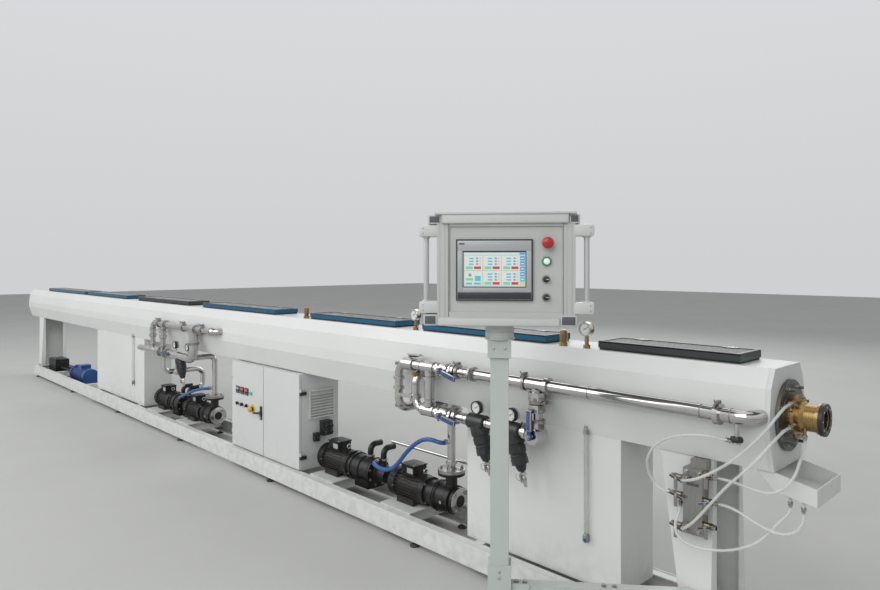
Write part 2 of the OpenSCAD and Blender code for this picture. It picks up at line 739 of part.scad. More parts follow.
// Liquid ring vacuum pumps: lantern, ringed casing, port head, and two bent suction tubes.
port_l = 88;
tube_end_y = 78;
suction_x = motor_l + vacuum_l - 73;
port_x = motor_l + vacuum_l + 45;
module vacuum_pumps() place() color("#26292c")
    for (x = vacuum_x) {
        bar_x(x + motor_l, x + motor_l + 46, 0, shaft_z, 60);
        bar_x(x + motor_l + 45, x + motor_l + vacuum_l, 0, shaft_z, vacuum_r - 6);
        for (d = [45, 120, vacuum_l - 14])
            bar_x(x + motor_l + d, x + motor_l + d + 14, 0, shaft_z, vacuum_r);
        bar_x(x + motor_l + vacuum_l - 1, x + motor_l + vacuum_l + port_l, 0, shaft_z, 42);
        block(x + motor_l + 90, x + motor_l + vacuum_l - 20, -60, 60, rail_top, shaft_z);
        for (p = [suction_x, port_x]) {
            bar_z(x + p, 0, shaft_z, shaft_z + 110, 17);
            translate([x + p, 0, shaft_z + 146]) rotate([0, 0, 90]) rotate([0, 180, 0]) bend(36, 17);
            bar_y(x + p, 36, tube_end_y, shaft_z + 146, 17);
        }
        bar_y(x + port_x, -45, 0, shaft_z + 82, 13);
    }

// Close-coupled water pumps with suction flange in front and discharge flange on top.
lantern_l = 60;
volute_l = 92;
neck_x = motor_l + 147;
neck_r = 30;
flange_top = rail_top + 239;
module water_pumps() place() color("#26292c")
    for (x = water_x) {
        bar_x(x + motor_l, x + motor_l + lantern_l + 1, 0, shaft_z, 62);
        bar_x(x + motor_l + lantern_l, x + motor_l + lantern_l + 12, 0, shaft_z, volute_r);
        bar_x(x + motor_l + lantern_l + 11, x + neck_x + 32, 0, shaft_z, volute_r - 6);
        bar_x(x + neck_x + 31, x + neck_x + 46, 0, shaft_z, 38);
        bar_x(x + neck_x + 45, x + neck_x + 60, 0, shaft_z, 68);
        bar_z(x + neck_x, 0, shaft_z, flange_top - 27, neck_r);
        bar_z(x + neck_x, 0, flange_top - 28, flange_top - 15, 69);
        bar_z(x + neck_x, 0, flange_top - 13, flange_top, 69);
        bar_z(x + neck_x, 0, flange_top - 16, flange_top - 12, 50);
    }

riser_x = water_x[0] + neck_x;
tee_x = die_x - 1540;
valve_x = die_x - 1426;
drop_x = die_x - 895;
elbow_x = die_x - 29;
left_x = die_x - 1763;
second_x = die_x - 1639;
filter_x = [die_x - 1224, die_x - 1025];

// A ball valve on a pipe along X: hexagon ends, round body, and a stem towards the front.
module ball_valve(x, z) {
    bar_x(x - 30, x + 30, -pipe_y, z, pipe_r + 11);
    for (s = [-1, 1])
        translate([x + s * 38, -pipe_y, z]) rotate([0, 90, 0])
            cylinder(h = 18, r = pipe_r + 9, center = true, $fn = 8);
    bar_y(x, -pipe_y - 48, -pipe_y, z, 9);
    bar_y(x, -pipe_y - 40, -pipe_y, z, 14);
}

// A pipe collar: two rims and a clamp between them.
module collar(x, z, w, r) bar_x(x - w / 2, x + w / 2, -pipe_y, z, r);

drain_x = die_x - 84;
drain_z = axis_z - 64;
module upper_pipe() place() color("#b4b7b9") {
    bar_x(left_x + bend_r, elbow_x - bend_r, -pipe_y, upper_z, pipe_r);
    up_to_tank() translate([elbow_x, -pipe_y, upper_z]) rotate([-90, 0, 0]) bend(bend_r, pipe_r);
    ball_valve(valve_x, upper_z);
    collar(valve_x + 65, upper_z, 14, 36);
    collar(valve_x + 82, upper_z, 16, 31);
    collar(valve_x + 176, upper_z, 12, 30);
    collar(drop_x - 60, upper_z, 16, 31);
    collar(drop_x, upper_z, 92, 28);
    collar(drop_x + 56, upper_z, 16, 34);
    collar(die_x - 144, upper_z, 18, 36);
    collar(tee_x, upper_z, 84, 28);
    bar_z(drain_x, -pipe_y, drain_z, upper_z, 7);
    bar_z(drain_x, -pipe_y, drain_z - 12, drain_z + 10, 14);
    bar_x(drain_x - 22, drain_x, -pipe_y, drain_z - 6, nipple_r);
    // Left of the tee: a small valve, an elbow, and the feed down to the underside of the tank.
    bar_x(left_x + bend_r - 12, left_x + bend_r + 60, -pipe_y, upper_z, 31);
    bar_z(left_x + bend_r + 22, -pipe_y, upper_z, upper_z + 50, 7);
    block(left_x + bend_r + 14, left_x + bend_r + 112, -pipe_y - 9, -pipe_y + 9, upper_z + 46, upper_z + 52);
    translate([left_x, -pipe_y, upper_z]) mirror([1, 0, 0]) mirror([0, 0, 1]) bend(bend_r, riser_r);
    bar_z(left_x, -pipe_y, base_z - 50 + bend_r, upper_z - bend_r, riser_r);
    for (z = [axis_z - 70, axis_z - 120]) bar_z(left_x, -pipe_y, z, z + 14, riser_r + 8);
    translate([left_x, -pipe_y, base_z - 50]) rotate([0, 0, -90]) bend(bend_r, riser_r);
    bar_y(left_x, -pipe_y + bend_r, -100, base_z - 50, riser_r);
    bar_z(left_x, -104, base_z - 50, base_z, riser_r + 5);
}

column_z0 = lower_z + 31;
column_z1 = upper_z - 31;
module lower_pipe() place() color("#b4b7b9") difference() {
    union() {
        bar_x(second_x + bend_r, drop_x, -pipe_y, lower_z, pipe_r);
        bar_z(tee_x, -pipe_y, lower_z, upper_z, pipe_r);
        for (z = [lower_z + 24, upper_z - 60]) bar_z(tee_x, -pipe_y, z, z + 14, pipe_r + 7);
        collar(tee_x, lower_z, 84, 28);
        ball_valve(valve_x, lower_z);
        collar(valve_x + 70, lower_z, 16, 33);
        collar(drop_x - 52, lower_z, 16, 33);
        bar_y(drop_x, -pipe_y - 40, -pipe_y + 30, lower_z, 33);
        bar_y(drop_x, -pipe_y - 48, -pipe_y, lower_z, 9);
        bar_z(drop_x, -pipe_y, lower_z, upper_z, pipe_r);
        for (z = [column_z0, column_z0 + 64, column_z1 - 32])
            translate([drop_x, -pipe_y, z]) cylinder(h = 32, r = 36, $fn = 8);
        translate([second_x, -pipe_y, lower_z]) mirror([1, 0, 0]) bend(bend_r, riser_r);
        bar_x(second_x + bend_r, second_x + bend_r + 14, -pipe_y, lower_z, pipe_r + 5);
        bar_z(second_x, -pipe_y, lower_z + bend_r, axis_z - 28 - bend_r, riser_r);
        up_to_tank() translate([second_x, -pipe_y, axis_z - 28]) rotate([0, 0, -90]) mirror([0, 0, 1])
            bend(bend_r, riser_r);
        bar_z(second_x, -pipe_y, axis_z - 150, axis_z - 130, riser_r + 9);
        bar_y(second_x, -pipe_y - 30, -pipe_y, axis_z - 140, 8);
        block(second_x - 92, second_x + 8, -pipe_y - 36, -pipe_y - 29, axis_z - 147, axis_z - 133);
    }
    for (x = [tee_x, drop_x]) bar_x(x - 60, x + 60, -pipe_y, upper_z, 28);
}

// From the water pump's discharge up to the lower pipe, with a rubber joint, and the seal water line.
seal_line_z = shaft_z + 182;
module pump_riser() place() color("#b4b7b9") {
    difference() {
        union() {
            bar_z(riser_x, 0, flange_top, base_z, riser_r);
            bar_z(riser_x, 0, base_z - 62, base_z - 8, 50);
            for (z = [base_z - 62, base_z - 20]) bar_z(riser_x, 0, z, z + 12, 57);
            bar_z(riser_x, 0, flange_top + 28, flange_top + 42, riser_r + 8);
            bar_y(riser_x, -pipe_y, -30, lower_z, riser_r);
            bar_y(riser_x, -38, 0, axis_z - 390, 11);
        }
        bar_x(riser_x - 90, riser_x + 90, -pipe_y, lower_z, pipe_r + 5);
    }
    bar_x(vacuum_x[0] + port_x + 18, box_x[0], 50, seal_line_z, 9);
}

// Angled water filters: a ring on the lower pipe, a ribbed leg and a chrome drain nozzle.
filter_r = 34;
filter_tilt = 18;
module filters() place() color("#202223")
    for (x = filter_x)
        translate([x, -pipe_y, lower_z]) difference() {
            union() {
                rotate([0, 90, 0]) cylinder(h = 92, r = filter_r, center = true);
                rotate([0, 180 - filter_tilt, 0]) {
                    cylinder(h = 128, r = 27);
                    for (h = [40 : 13 : 105]) translate([0, 0, h]) cylinder(h = 6, r = 31);
                    translate([0, 0, 118]) cylinder(h = 26, r = 36, $fn = 8);
                    translate([0, 0, 143]) cylinder(h = 50, r = 8);
                }
            }
            rotate([0, 90, 0]) cylinder(h = 94, r = pipe_r, center = true);
        }

module gauges() place() color("#d9dbd8")
    for (x = filter_x) {
        difference() {
            bar_z(x, -pipe_y, lower_z, lower_z + 40, 7);
            bar_x(x - 20, x + 20, -pipe_y, lower_z, filter_r);
        }
        bar_y(x, -pipe_y - 14, -pipe_y + 14, lower_z + 36 + gauge_r, gauge_r);
    }

// Second set of pipes, at the outlet pumps.
out_tee_x = die_x - 4149;
out_left_x = die_x - 4893;
out_elbow_x = die_x - 3800;
out_low_z = axis_z - 220;
out_run_z = axis_z - 380;
out_riser_x = vacuum_x[1] + port_x;
out_pump_x = water_x[1] + neck_x;
module outlet_pipes() place() color("#b4b7b9") {
    bar_x(out_left_x, out_elbow_x - bend_r, -pipe_y, upper_z, pipe_r);
    up_to_tank() translate([out_elbow_x, -pipe_y, upper_z]) rotate([-90, 0, 0]) bend(bend_r, pipe_r);
    for (x = [die_x - 4665, die_x - 4106]) collar(x, upper_z, 16, 36);
    collar(out_elbow_x - bend_r, upper_z, 16, pipe_r + 5);
    collar(out_tee_x, upper_z, 92, 30);
    // Big elbow that drops from the tee and turns towards the outlet.
    bar_z(out_tee_x, -pipe_y, out_low_z + 76, upper_z, 34);
    bar_x(die_x - 5225, die_x - 4566, -pipe_y, out_low_z, pipe_r);
    translate([out_tee_x, -pipe_y, out_low_z]) bend(76, 34);
    bar_x(die_x - 4567, out_tee_x - 76, -pipe_y, out_low_z, 34);
    // Two columns between the lines.
    bar_z(die_x - 4726, -pipe_y, out_low_z + 10, upper_z - 10, riser_r);
    bar_z(out_left_x - 43, -pipe_y, out_low_z + 10, upper_z - 43, riser_r);
    translate([out_left_x - 43, -pipe_y, upper_z]) mirror([1, 0, 0]) mirror([0, 0, 1]) bend(43, riser_r);
    for (x = [out_left_x - 43, die_x - 4726]) {
        bar_z(x, -pipe_y, axis_z - 100, axis_z - 80, riser_r + 9);
        bar_z(x, -pipe_y, axis_z - 60, axis_z - 46, riser_r + 7);
    }
    // Down, under the tank and on to the tube of the vacuum pump.
    bar_z(out_riser_x, -pipe_y, out_run_z + bend_r, out_low_z - 10, riser_r);
    translate([out_riser_x, -pipe_y, out_run_z]) rotate([0, 0, -90]) bend(bend_r, riser_r);
    bar_y(out_riser_x, -pipe_y + bend_r, tube_end_y + 40 - bend_r, out_run_z, riser_r);
    translate([out_riser_x, tube_end_y + 40, out_run_z]) rotate([0, 0, 90]) mirror([0, 0, 1])
        bend(bend_r, riser_r);
    bar_z(out_riser_x, tube_end_y + 40, shaft_z + 186, out_run_z - bend_r, riser_r);
    translate([out_riser_x, tube_end_y + 40, shaft_z + 146]) rotate([0, 0, 90]) bend(40, riser_r);
    // Down to the flange of the water pump.
    bar_z(out_pump_x, 0, flange_top, out_low_z - 45, riser_r);
    translate([out_pump_x, 0, out_low_z]) rotate([0, 0, 90]) mirror([0, 0, 1]) bend(45, riser_r);
    bar_y(out_pump_x, -pipe_y + 20, -45, out_low_z, riser_r);
    bar_y(out_pump_x, -38, 0, axis_z - 470, 11);
    collar(die_x - 4800, out_low_z, 70, 38);
    for (x = [die_x - 4469, die_x - 4236]) {
        bar_z(x, -pipe_y, out_low_z + 5, out_low_z + 60, 7);
        bar_y(x, -pipe_y - 14, -pipe_y + 14, out_low_z + 56 + gauge_r, gauge_r);
    }
    // Filter leg under the lower line.
    translate([die_x - 4393, -pipe_y, out_low_z]) rotate([0, 180 + filter_tilt, 0]) {
        cylinder(h = 128, r = 27);
        translate([0, 0, 118]) cylinder(h = 26, r = 36, $fn = 8);
    }
}

tube_y = -box_half - 12;
module level_tubes() place() color("#cfd6d6")
    for (t = [[die_x - 710, 324], [die_x - 5604, 308]]) {
        up_to_tank() bar_z(t[0], tube_y, t[1] - 8, base_z + 30, 8);
        block(t[0] - 10, t[0] + 10, tube_y - 8, -box_half, t[1] - 22, t[1] + 2);
    }

// Vacuum valve block on the front of the leg: a plate, six small valves and their hose nipples.
plate_x0 = die_x - 285;
plate_x1 = die_x - 217;
small_y = -165;
left_rows = [axis_z - 242, axis_z - 302, axis_z - 410];
right_rows = [axis_z - 216, axis_z - 303, axis_z - 386];
front_nipple_x = die_x - 270;
front_nipple_y = small_y - 24;
module valve_block() place() color("#9b9fa0") {
    difference() {
        union() {
            block(plate_x0, plate_x1, small_y - 8, -100, axis_z - 428, axis_z - 200);
            block(plate_x0 + 18, plate_x1 + 7, small_y + 10, -100, axis_z - 201, axis_z - 171);
        }
        leg_body(leg_x[0], 0);
    }
    for (z = left_rows) small_valve(plate_x0, -1, z);
    for (z = right_rows) small_valve(plate_x1, 1, z);
    for (z = [left_rows[0] + 7, left_rows[2] + 10])
        bar_y(front_nipple_x, front_nipple_y, small_y, z, nipple_r);
    bar_z(die_x - 298, small_y, left_rows[1] - 24, left_rows[1], nipple_r);
}

// A small ball valve that points to -X or +X, with a flat lever in front.
module small_valve(x, s, z) {
    reach = 45;
    bar_x(min(x, x + s * reach), max(x, x + s * reach), small_y, z, nipple_r);
    bar_x(min(x - s, x + s * 34), max(x - s, x + s * 34), small_y, z, 11);
    bar_y(x + s * 20, small_y - 22, small_y, z, 4);
    block(x + s * 20 - 6, x + s * 20 + 6, small_y - 25, small_y - 21, z - 38, z + 8);
}

function unit(v) = v / norm(v);
function tangent(p, i) = i == 0 ? unit(p[1] - p[0])
    : i == len(p) - 1 ? unit(p[i] - p[i - 1])
    : unit(unit(p[i + 1] - p[i]) + unit(p[i] - p[i - 1]));
// Side vector of each ring, carried along the route without twist.
function sides(p, i, s) = let (n = unit(s - (s * tangent(p, i)) * tangent(p, i)))
    i == len(p) - 1 ? [n] : concat([n], sides(p, i + 1, n));

// Sweeps a round hose through the points of a route.
module hose(p, r, m) {
    n = sides(p, 0, [0.31, 0.52, 0.79]);
    rings = len(p);
    points = [for (i = [0 : rings - 1], k = [0 : m - 1])
        p[i] + r * (cos(360 * k / m) * n[i] + sin(360 * k / m) * cross(tangent(p, i), n[i]))];
    walls = [for (i = [0 : rings - 2], k = [0 : m - 1])
        [i * m + k, (i + 1) * m + k, (i + 1) * m + (k + 1) % m, i * m + (k + 1) % m]];
    polyhedron(points, concat(walls, [[for (k = [0 : m - 1]) k]],
        [[for (k = [m - 1 : -1 : 0]) (rings - 1) * m + k]]));
}

// Routes from the end plate's datum: distance past the tank's end, across, and above the floor.
clear_routes = [
    [[-106, -210, 830], [-130, -210, 830], [-170, -232, 838], [-235, -245, 832], [-305, -240, 808],
        [-365, -225, 765], [-402, -205, 710], [-408, -185, 655], [-392, -170, 616],
        [-362, -165, 598], [-330, -165, 598]],
    [[-270, -189, 665], [-270, -212, 665], [-252, -232, 672], [-205, -238, 690], [-150, -226, 725],
        [-95, -212, 770], [-45, -198, 825], [-5, -186, 875], [20, -165, 918], [32, -132, 944],
        [34, -100, 950], [34, -76, 950]],
    [[-270, -189, 500], [-270, -212, 500], [-252, -232, 510], [-215, -236, 545], [-165, -226, 612],
        [-115, -212, 680], [-65, -205, 735], [-20, -196, 790], [12, -176, 838], [30, -142, 868],
        [34, -110, 875], [34, -76, 875]],
    [[-172, -165, 684], [-125, -165, 684], [-60, -165, 676], [-15, -163, 672], [20, -160, 682],
        [50, -150, 708], [68, -132, 745], [70, -102, 776], [66, -60, 790], [62, -34, 808],
        [62, -30, 828], [62, -30, 845]],
    [[-172, -165, 597], [-130, -165, 597], [-90, -167, 588], [-40, -170, 570], [10, -174, 558],
        [50, -168, 558], [75, -148, 570], [83, -118, 588], [80, -97, 606], [80, -97, 630]],
    [[-298, -165, 574], [-298, -165, 552], [-300, -178, 532], [-300, -198, 508], [-290, -212, 480],
        [-262, -212, 456], [-215, -200, 446], [-150, -186, 452], [-95, -172, 470], [-45, -160, 500],
        [-8, -148, 540], [18, -130, 578], [36, -106, 602], [40, -97, 620], [40, -97, 640]]];

function at_die(route) = [for (p = route) [die_x + p[0], p[1], p[2]]];

module clear_hoses() place() color("#d9dcd8")
    for (route = clear_routes) hose(at_die(route), hose_r, 8);

pump_routes = [
    [[-1600, -38, 510], [-1600, -58, 510], [-1616, -74, 513], [-1650, -82, 518], [-1695, -84, 514],
        [-1740, -88, 498], [-1790, -94, 464], [-1835, -102, 420], [-1872, -108, 375],
        [-1910, -111, 338], [-1960, -113, 310], [-2020, -110, 298], [-2080, -100, 298],
        [-2122, -85, 300], [-2141, -66, 300], [-2141, -45, 300]],
    [[-4706, -45, 300], [-4706, -66, 300], [-4686, -92, 302], [-4630, -112, 312], [-4560, -124, 332],
        [-4490, -128, 356], [-4420, -126, 380], [-4350, -116, 404], [-4285, -98, 422],
        [-4248, -80, 430], [-4235, -60, 430], [-4235, -38, 430]]];
module pump_hoses() place() color("#2f67c0")
    for (route = pump_routes) hose(at_die(route), pump_hose_r, 10);

// A valve lever: hub, flat bar and rounded end.
module lever(x, z, turn) color("#1d57b5")
    translate([x, -pipe_y, z]) rotate([0, turn, 0]) along_y(-56, -48) {
        circle(14);
        translate([0, -9]) square([lever_l - 23, 18]);
        translate([lever_l - 23, 0]) circle(9);
    }
module lever_upper() place() lever(valve_x, upper_z, 14);
module lever_lower() place() lever(valve_x, lower_z, 10);
module lever_drop() place() lever(drop_x, lower_z, -90);

// The panel's and the post's own axes: X to the right, -Y to the front, origin on the post's axis.
module on_post() place() translate([post_x, -post_y, 0]) rotate([0, 0, panel_yaw]) children();

module square_bar(w, z0, z1) block(-w / 2, w / 2, -w / 2, w / 2, z0, z1);

swivel_z = panel_z - 28;
swivel_pin_r = 18;
module stand_post() on_post() color("#b6bdb8") {
    square_bar(foot_plate, 0, foot_plate_t);
    square_bar(sleeve_w, foot_plate_t - 1, sleeve_h);
    square_bar(post_w, sleeve_h - 1, panel_z - 119);
    square_bar(sleeve_w, panel_z - 120, panel_z - 52);
    bar_z(0, 0, panel_z - 53, swivel_z, swivel_r);
    bar_z(0, 0, swivel_z - 1, panel_z - 8, swivel_pin_r);
}

// A straight arm from the foot sleeve to the leg, with two bolted bracket plates.
module stand_arm() color("#b6bdb8") difference() {
    on_post() {
        block(sleeve_w / 2, post_inset, -arm_w / 2, arm_w / 2, arm_z - arm_w / 2, arm_z + arm_w / 2);
        for (s = [[sleeve_w / 2, 64], [350, 70]])
            block(s[0], s[0] + s[1], -arm_w / 2 - 6, -arm_w / 2 + 1, arm_z - 33, arm_z + 33);
    }
    place() leg_body(leg_x[0], 0);
    place() block(leg_x[0] - leg_foot_w - 100, leg_x[0] + 300, -leg_top_half, 400, 0, base_z);
}

panel_x0 = panel_shift - panel_w / 2;
panel_x1 = panel_shift + panel_w / 2;
panel_top = panel_z + panel_h;
// Housing of four profiles round a set-back front plate, on the upper half of the swivel.
module panel_housing() on_post() color("#bcc2be") {
    difference() {
        block(panel_x0, panel_x1, -panel_front, panel_back, panel_z, panel_top);
        block(panel_x0 + column_w, panel_x1 - column_w, -panel_front - 1, -panel_front + 6,
            panel_z + strip_h, panel_top - strip_h);
        for (x = [panel_x0 + column_w - 4, panel_x1 - column_w + 1])
            block(x, x + 3, -panel_front - 1, -panel_front + 4, panel_z - 1, panel_top + 1);
    }
    difference() {
        bar_z(0, 0, swivel_z + seat_gap, panel_z + 1, swivel_r);
        bar_z(0, 0, swivel_z - 1, panel_z - 8 + seat_gap, swivel_pin_r + seat_gap);
    }
}

// Two grip bars, each between a bracket at the top and one at the bottom.
module panel_grips() on_post() color("#9ba19e")
    for (s = [-1, 1]) {
        x_in = s < 0 ? panel_x0 : panel_x1;
        x_out = panel_shift + s * grip_span / 2;
        bar_z(x_out - s * 22, -panel_front + 20, panel_z + 30, panel_top - 30, grip_r);
        for (z = [panel_z + 2, panel_top - 42])
            block(min(x_in, x_out), max(x_in, x_out), -panel_front, -panel_front + 44, z, z + 40);
    }

plate_y = -panel_front + 6;
screen_x0 = -148;
screen_x1 = 115;
module panel_screen() on_post() color("#3a3d40") difference() {
    block(screen_x0, screen_x1, plate_y - 8, plate_y, panel_z + 86, panel_z + 297);
    block(screen_x0 + 25, screen_x1 - 24, plate_y - 9, plate_y - 5, panel_z + 133, panel_z + 253);
}

// Emergency stop, lit button and two selectors in a column beside the screen.
module panel_buttons() on_post() color("#c4342c") {
    bar_y(165, plate_y - 12, plate_y, panel_z + 284, 15);
    bar_y(165, plate_y - 30, plate_y - 11, panel_z + 284, 19);
    bar_y(162, plate_y - 14, plate_y, panel_z + 221, 16);
    for (z = [panel_z + 159.5, panel_z + 98]) {
        bar_y(160, plate_y - 8, plate_y, z, 13.5);
        bar_y(160, plate_y - 20, plate_y - 7, z, 9);
    }
}

tank_front_wall();
tank_rear_wall();
tank_floor();
deck_bridges();
inlet_end_plate();
outlet_end_plate();
inlet_flange();
sizing_sleeve();
drip_tray();
pipe_rollers();
spray_pipes();
lid_seals();
lid_hinges();
lid_1();
lid_2();
lid_3();
lid_4();
lid_5();
lid_6();
lid_7();
deck_fittings();
legs();
water_boxes();
base_rails();
cross_members();
levelling_feet();
pump_plates();
travel_gearbox();
travel_motor();
cabinet();
cabinet_hinges();
cabinet_vent();
cabinet_sockets();
door_left();
door_right();
door_controls();
door_handle();
pump_motors();
vacuum_pumps();
water_pumps();
upper_pipe();
lower_pipe();
pump_riser();
filters();
gauges();
outlet_pipes();
level_tubes();
valve_block();
clear_hoses();
pump_hoses();
lever_upper();
lever_lower();
lever_drop();
stand_post();
stand_arm();
panel_housing();
panel_grips();
panel_screen();
panel_buttons();
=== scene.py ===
"""Vacuum sizing tank of a plastic pipe line: looks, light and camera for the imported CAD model."""
import json
import math

import bmesh
import bpy
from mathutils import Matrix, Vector


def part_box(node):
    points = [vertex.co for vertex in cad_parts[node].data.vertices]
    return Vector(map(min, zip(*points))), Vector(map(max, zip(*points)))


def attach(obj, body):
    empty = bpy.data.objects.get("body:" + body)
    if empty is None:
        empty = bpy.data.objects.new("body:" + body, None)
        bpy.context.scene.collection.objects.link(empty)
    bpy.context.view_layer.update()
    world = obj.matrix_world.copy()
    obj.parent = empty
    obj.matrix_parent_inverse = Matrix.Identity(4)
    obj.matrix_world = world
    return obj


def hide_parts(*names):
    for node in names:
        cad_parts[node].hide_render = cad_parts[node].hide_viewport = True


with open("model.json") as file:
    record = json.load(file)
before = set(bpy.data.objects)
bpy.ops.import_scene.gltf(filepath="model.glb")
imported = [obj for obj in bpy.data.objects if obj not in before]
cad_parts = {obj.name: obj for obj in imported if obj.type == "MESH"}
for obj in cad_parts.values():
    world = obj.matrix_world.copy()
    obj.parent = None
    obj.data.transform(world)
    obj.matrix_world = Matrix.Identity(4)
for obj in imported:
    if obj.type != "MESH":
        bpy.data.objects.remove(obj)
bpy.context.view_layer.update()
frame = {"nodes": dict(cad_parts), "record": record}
NODES = frame["nodes"]
SLOT_OF = {p["node"]: p["material_slot"] for p in frame["record"]["subparts"]}

# The machine's own datum: the die-end face of the tank and its centre line. Sizes below are in mm from it.
FLANGE_LO, FLANGE_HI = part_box("inlet_flange")
DIE_X = FLANGE_LO.x
LINE_Y = (FLANGE_LO.y + FLANGE_HI.y) / 2
MM = 0.001
AXIS_Z = (FLANGE_LO.z + FLANGE_HI.z) / 2 / MM

# Camera, measured from the photograph: metres from the datum, level, with the picture shifted down.
CAM_AHEAD, CAM_ASIDE, CAM_HEIGHT = 0.8245, -2.4208, 1.409
CAM_TURN = 2.374048
PHOTO_W, PHOTO_H = 880, 590
FOCAL_PX, HORIZON_PX = 676.8, 263.1
SENSOR = 36.0
FLOOR_SIZE, WORLD_STRENGTH = 60, 0.50

PANEL_AXIS = (-770, -586)
PANEL_YAW = math.radians(40)
# Places on the machine: the pipes' plane, radius and heights, the valves and the tee along them, the
# gauges, the pumps' shaft, the cabinet's ends and door face, the lids' top, the pumps and the post.
LINE = -210
PIPE_R = 24.15
UPPER_Z, LOWER_Z, OUT_LOW_Z = 912, 704, 680
VALVE_N, DROP_N, TEE_N = -1426, -895, -1540
GAUGE_Z, OUT_GAUGE_Z, GAUGE_R = 768, 764, 28
SHAFT_Z = 218
MOTOR_L = 268
CABINET_LEFT, CABINET_RIGHT, DOOR_FACE = -3627, -2765, -160
LID_TOP = 1098
WATER_PUMPS, VACUUM_PUMPS = (-2015, -4650), (-2690, -5255)
DECK_GAUGES = (-735, -1770)
POST_FACE = -42.5
CLEAR_R, PUMP_R = 5, 11
# Directions: towards the operator and away, up and down, towards the die and away.
SIDE, REAR = (0, -1, 0), (0, 1, 0)
UP, DOWN = (0, 0, 1), (0, 0, -1)
AHEAD, ASTERN = (1, 0, 0), (-1, 0, 0)


def point(n, y, z):
    return Vector((DIE_X + n * MM, LINE_Y + y * MM, z * MM))


def panel_point(x, y, z):
    c, s = math.cos(PANEL_YAW), math.sin(PANEL_YAW)
    return point(PANEL_AXIS[0] + x * c - y * s, PANEL_AXIS[1] + x * s + y * c, z)


def along(at, way, d):
    return tuple(a + w * d for a, w in zip(at, way))


def square_to(way):
    """Two directions square to a direction and to each other."""
    side = Vector(UP) if abs(way.z) < 0.7 else Vector(AHEAD)
    u = way.cross(side).normalized()
    return u, way.cross(u)


def make_camera():
    data = bpy.data.cameras.new("camera")
    cam = bpy.data.objects.new("camera", data)
    bpy.context.scene.collection.objects.link(cam)
    data.sensor_width = SENSOR
    data.lens = SENSOR * FOCAL_PX / PHOTO_W
    data.shift_y = (HORIZON_PX - PHOTO_H / 2) / PHOTO_W
    cam.location = (DIE_X + CAM_AHEAD, LINE_Y + CAM_ASIDE, CAM_HEIGHT)
    cam.rotation_euler = (math.pi / 2, 0, CAM_TURN - math.pi / 2)
    data.clip_end = 100
    bpy.context.scene.camera = cam


# ---- materials

MATERIALS = {}
# Dark dust brown: the colour of the dirt near the floor, and of the painted shade in corners and creases.
DUST_AND_SHADE = (0.20, 0.17, 0.13)


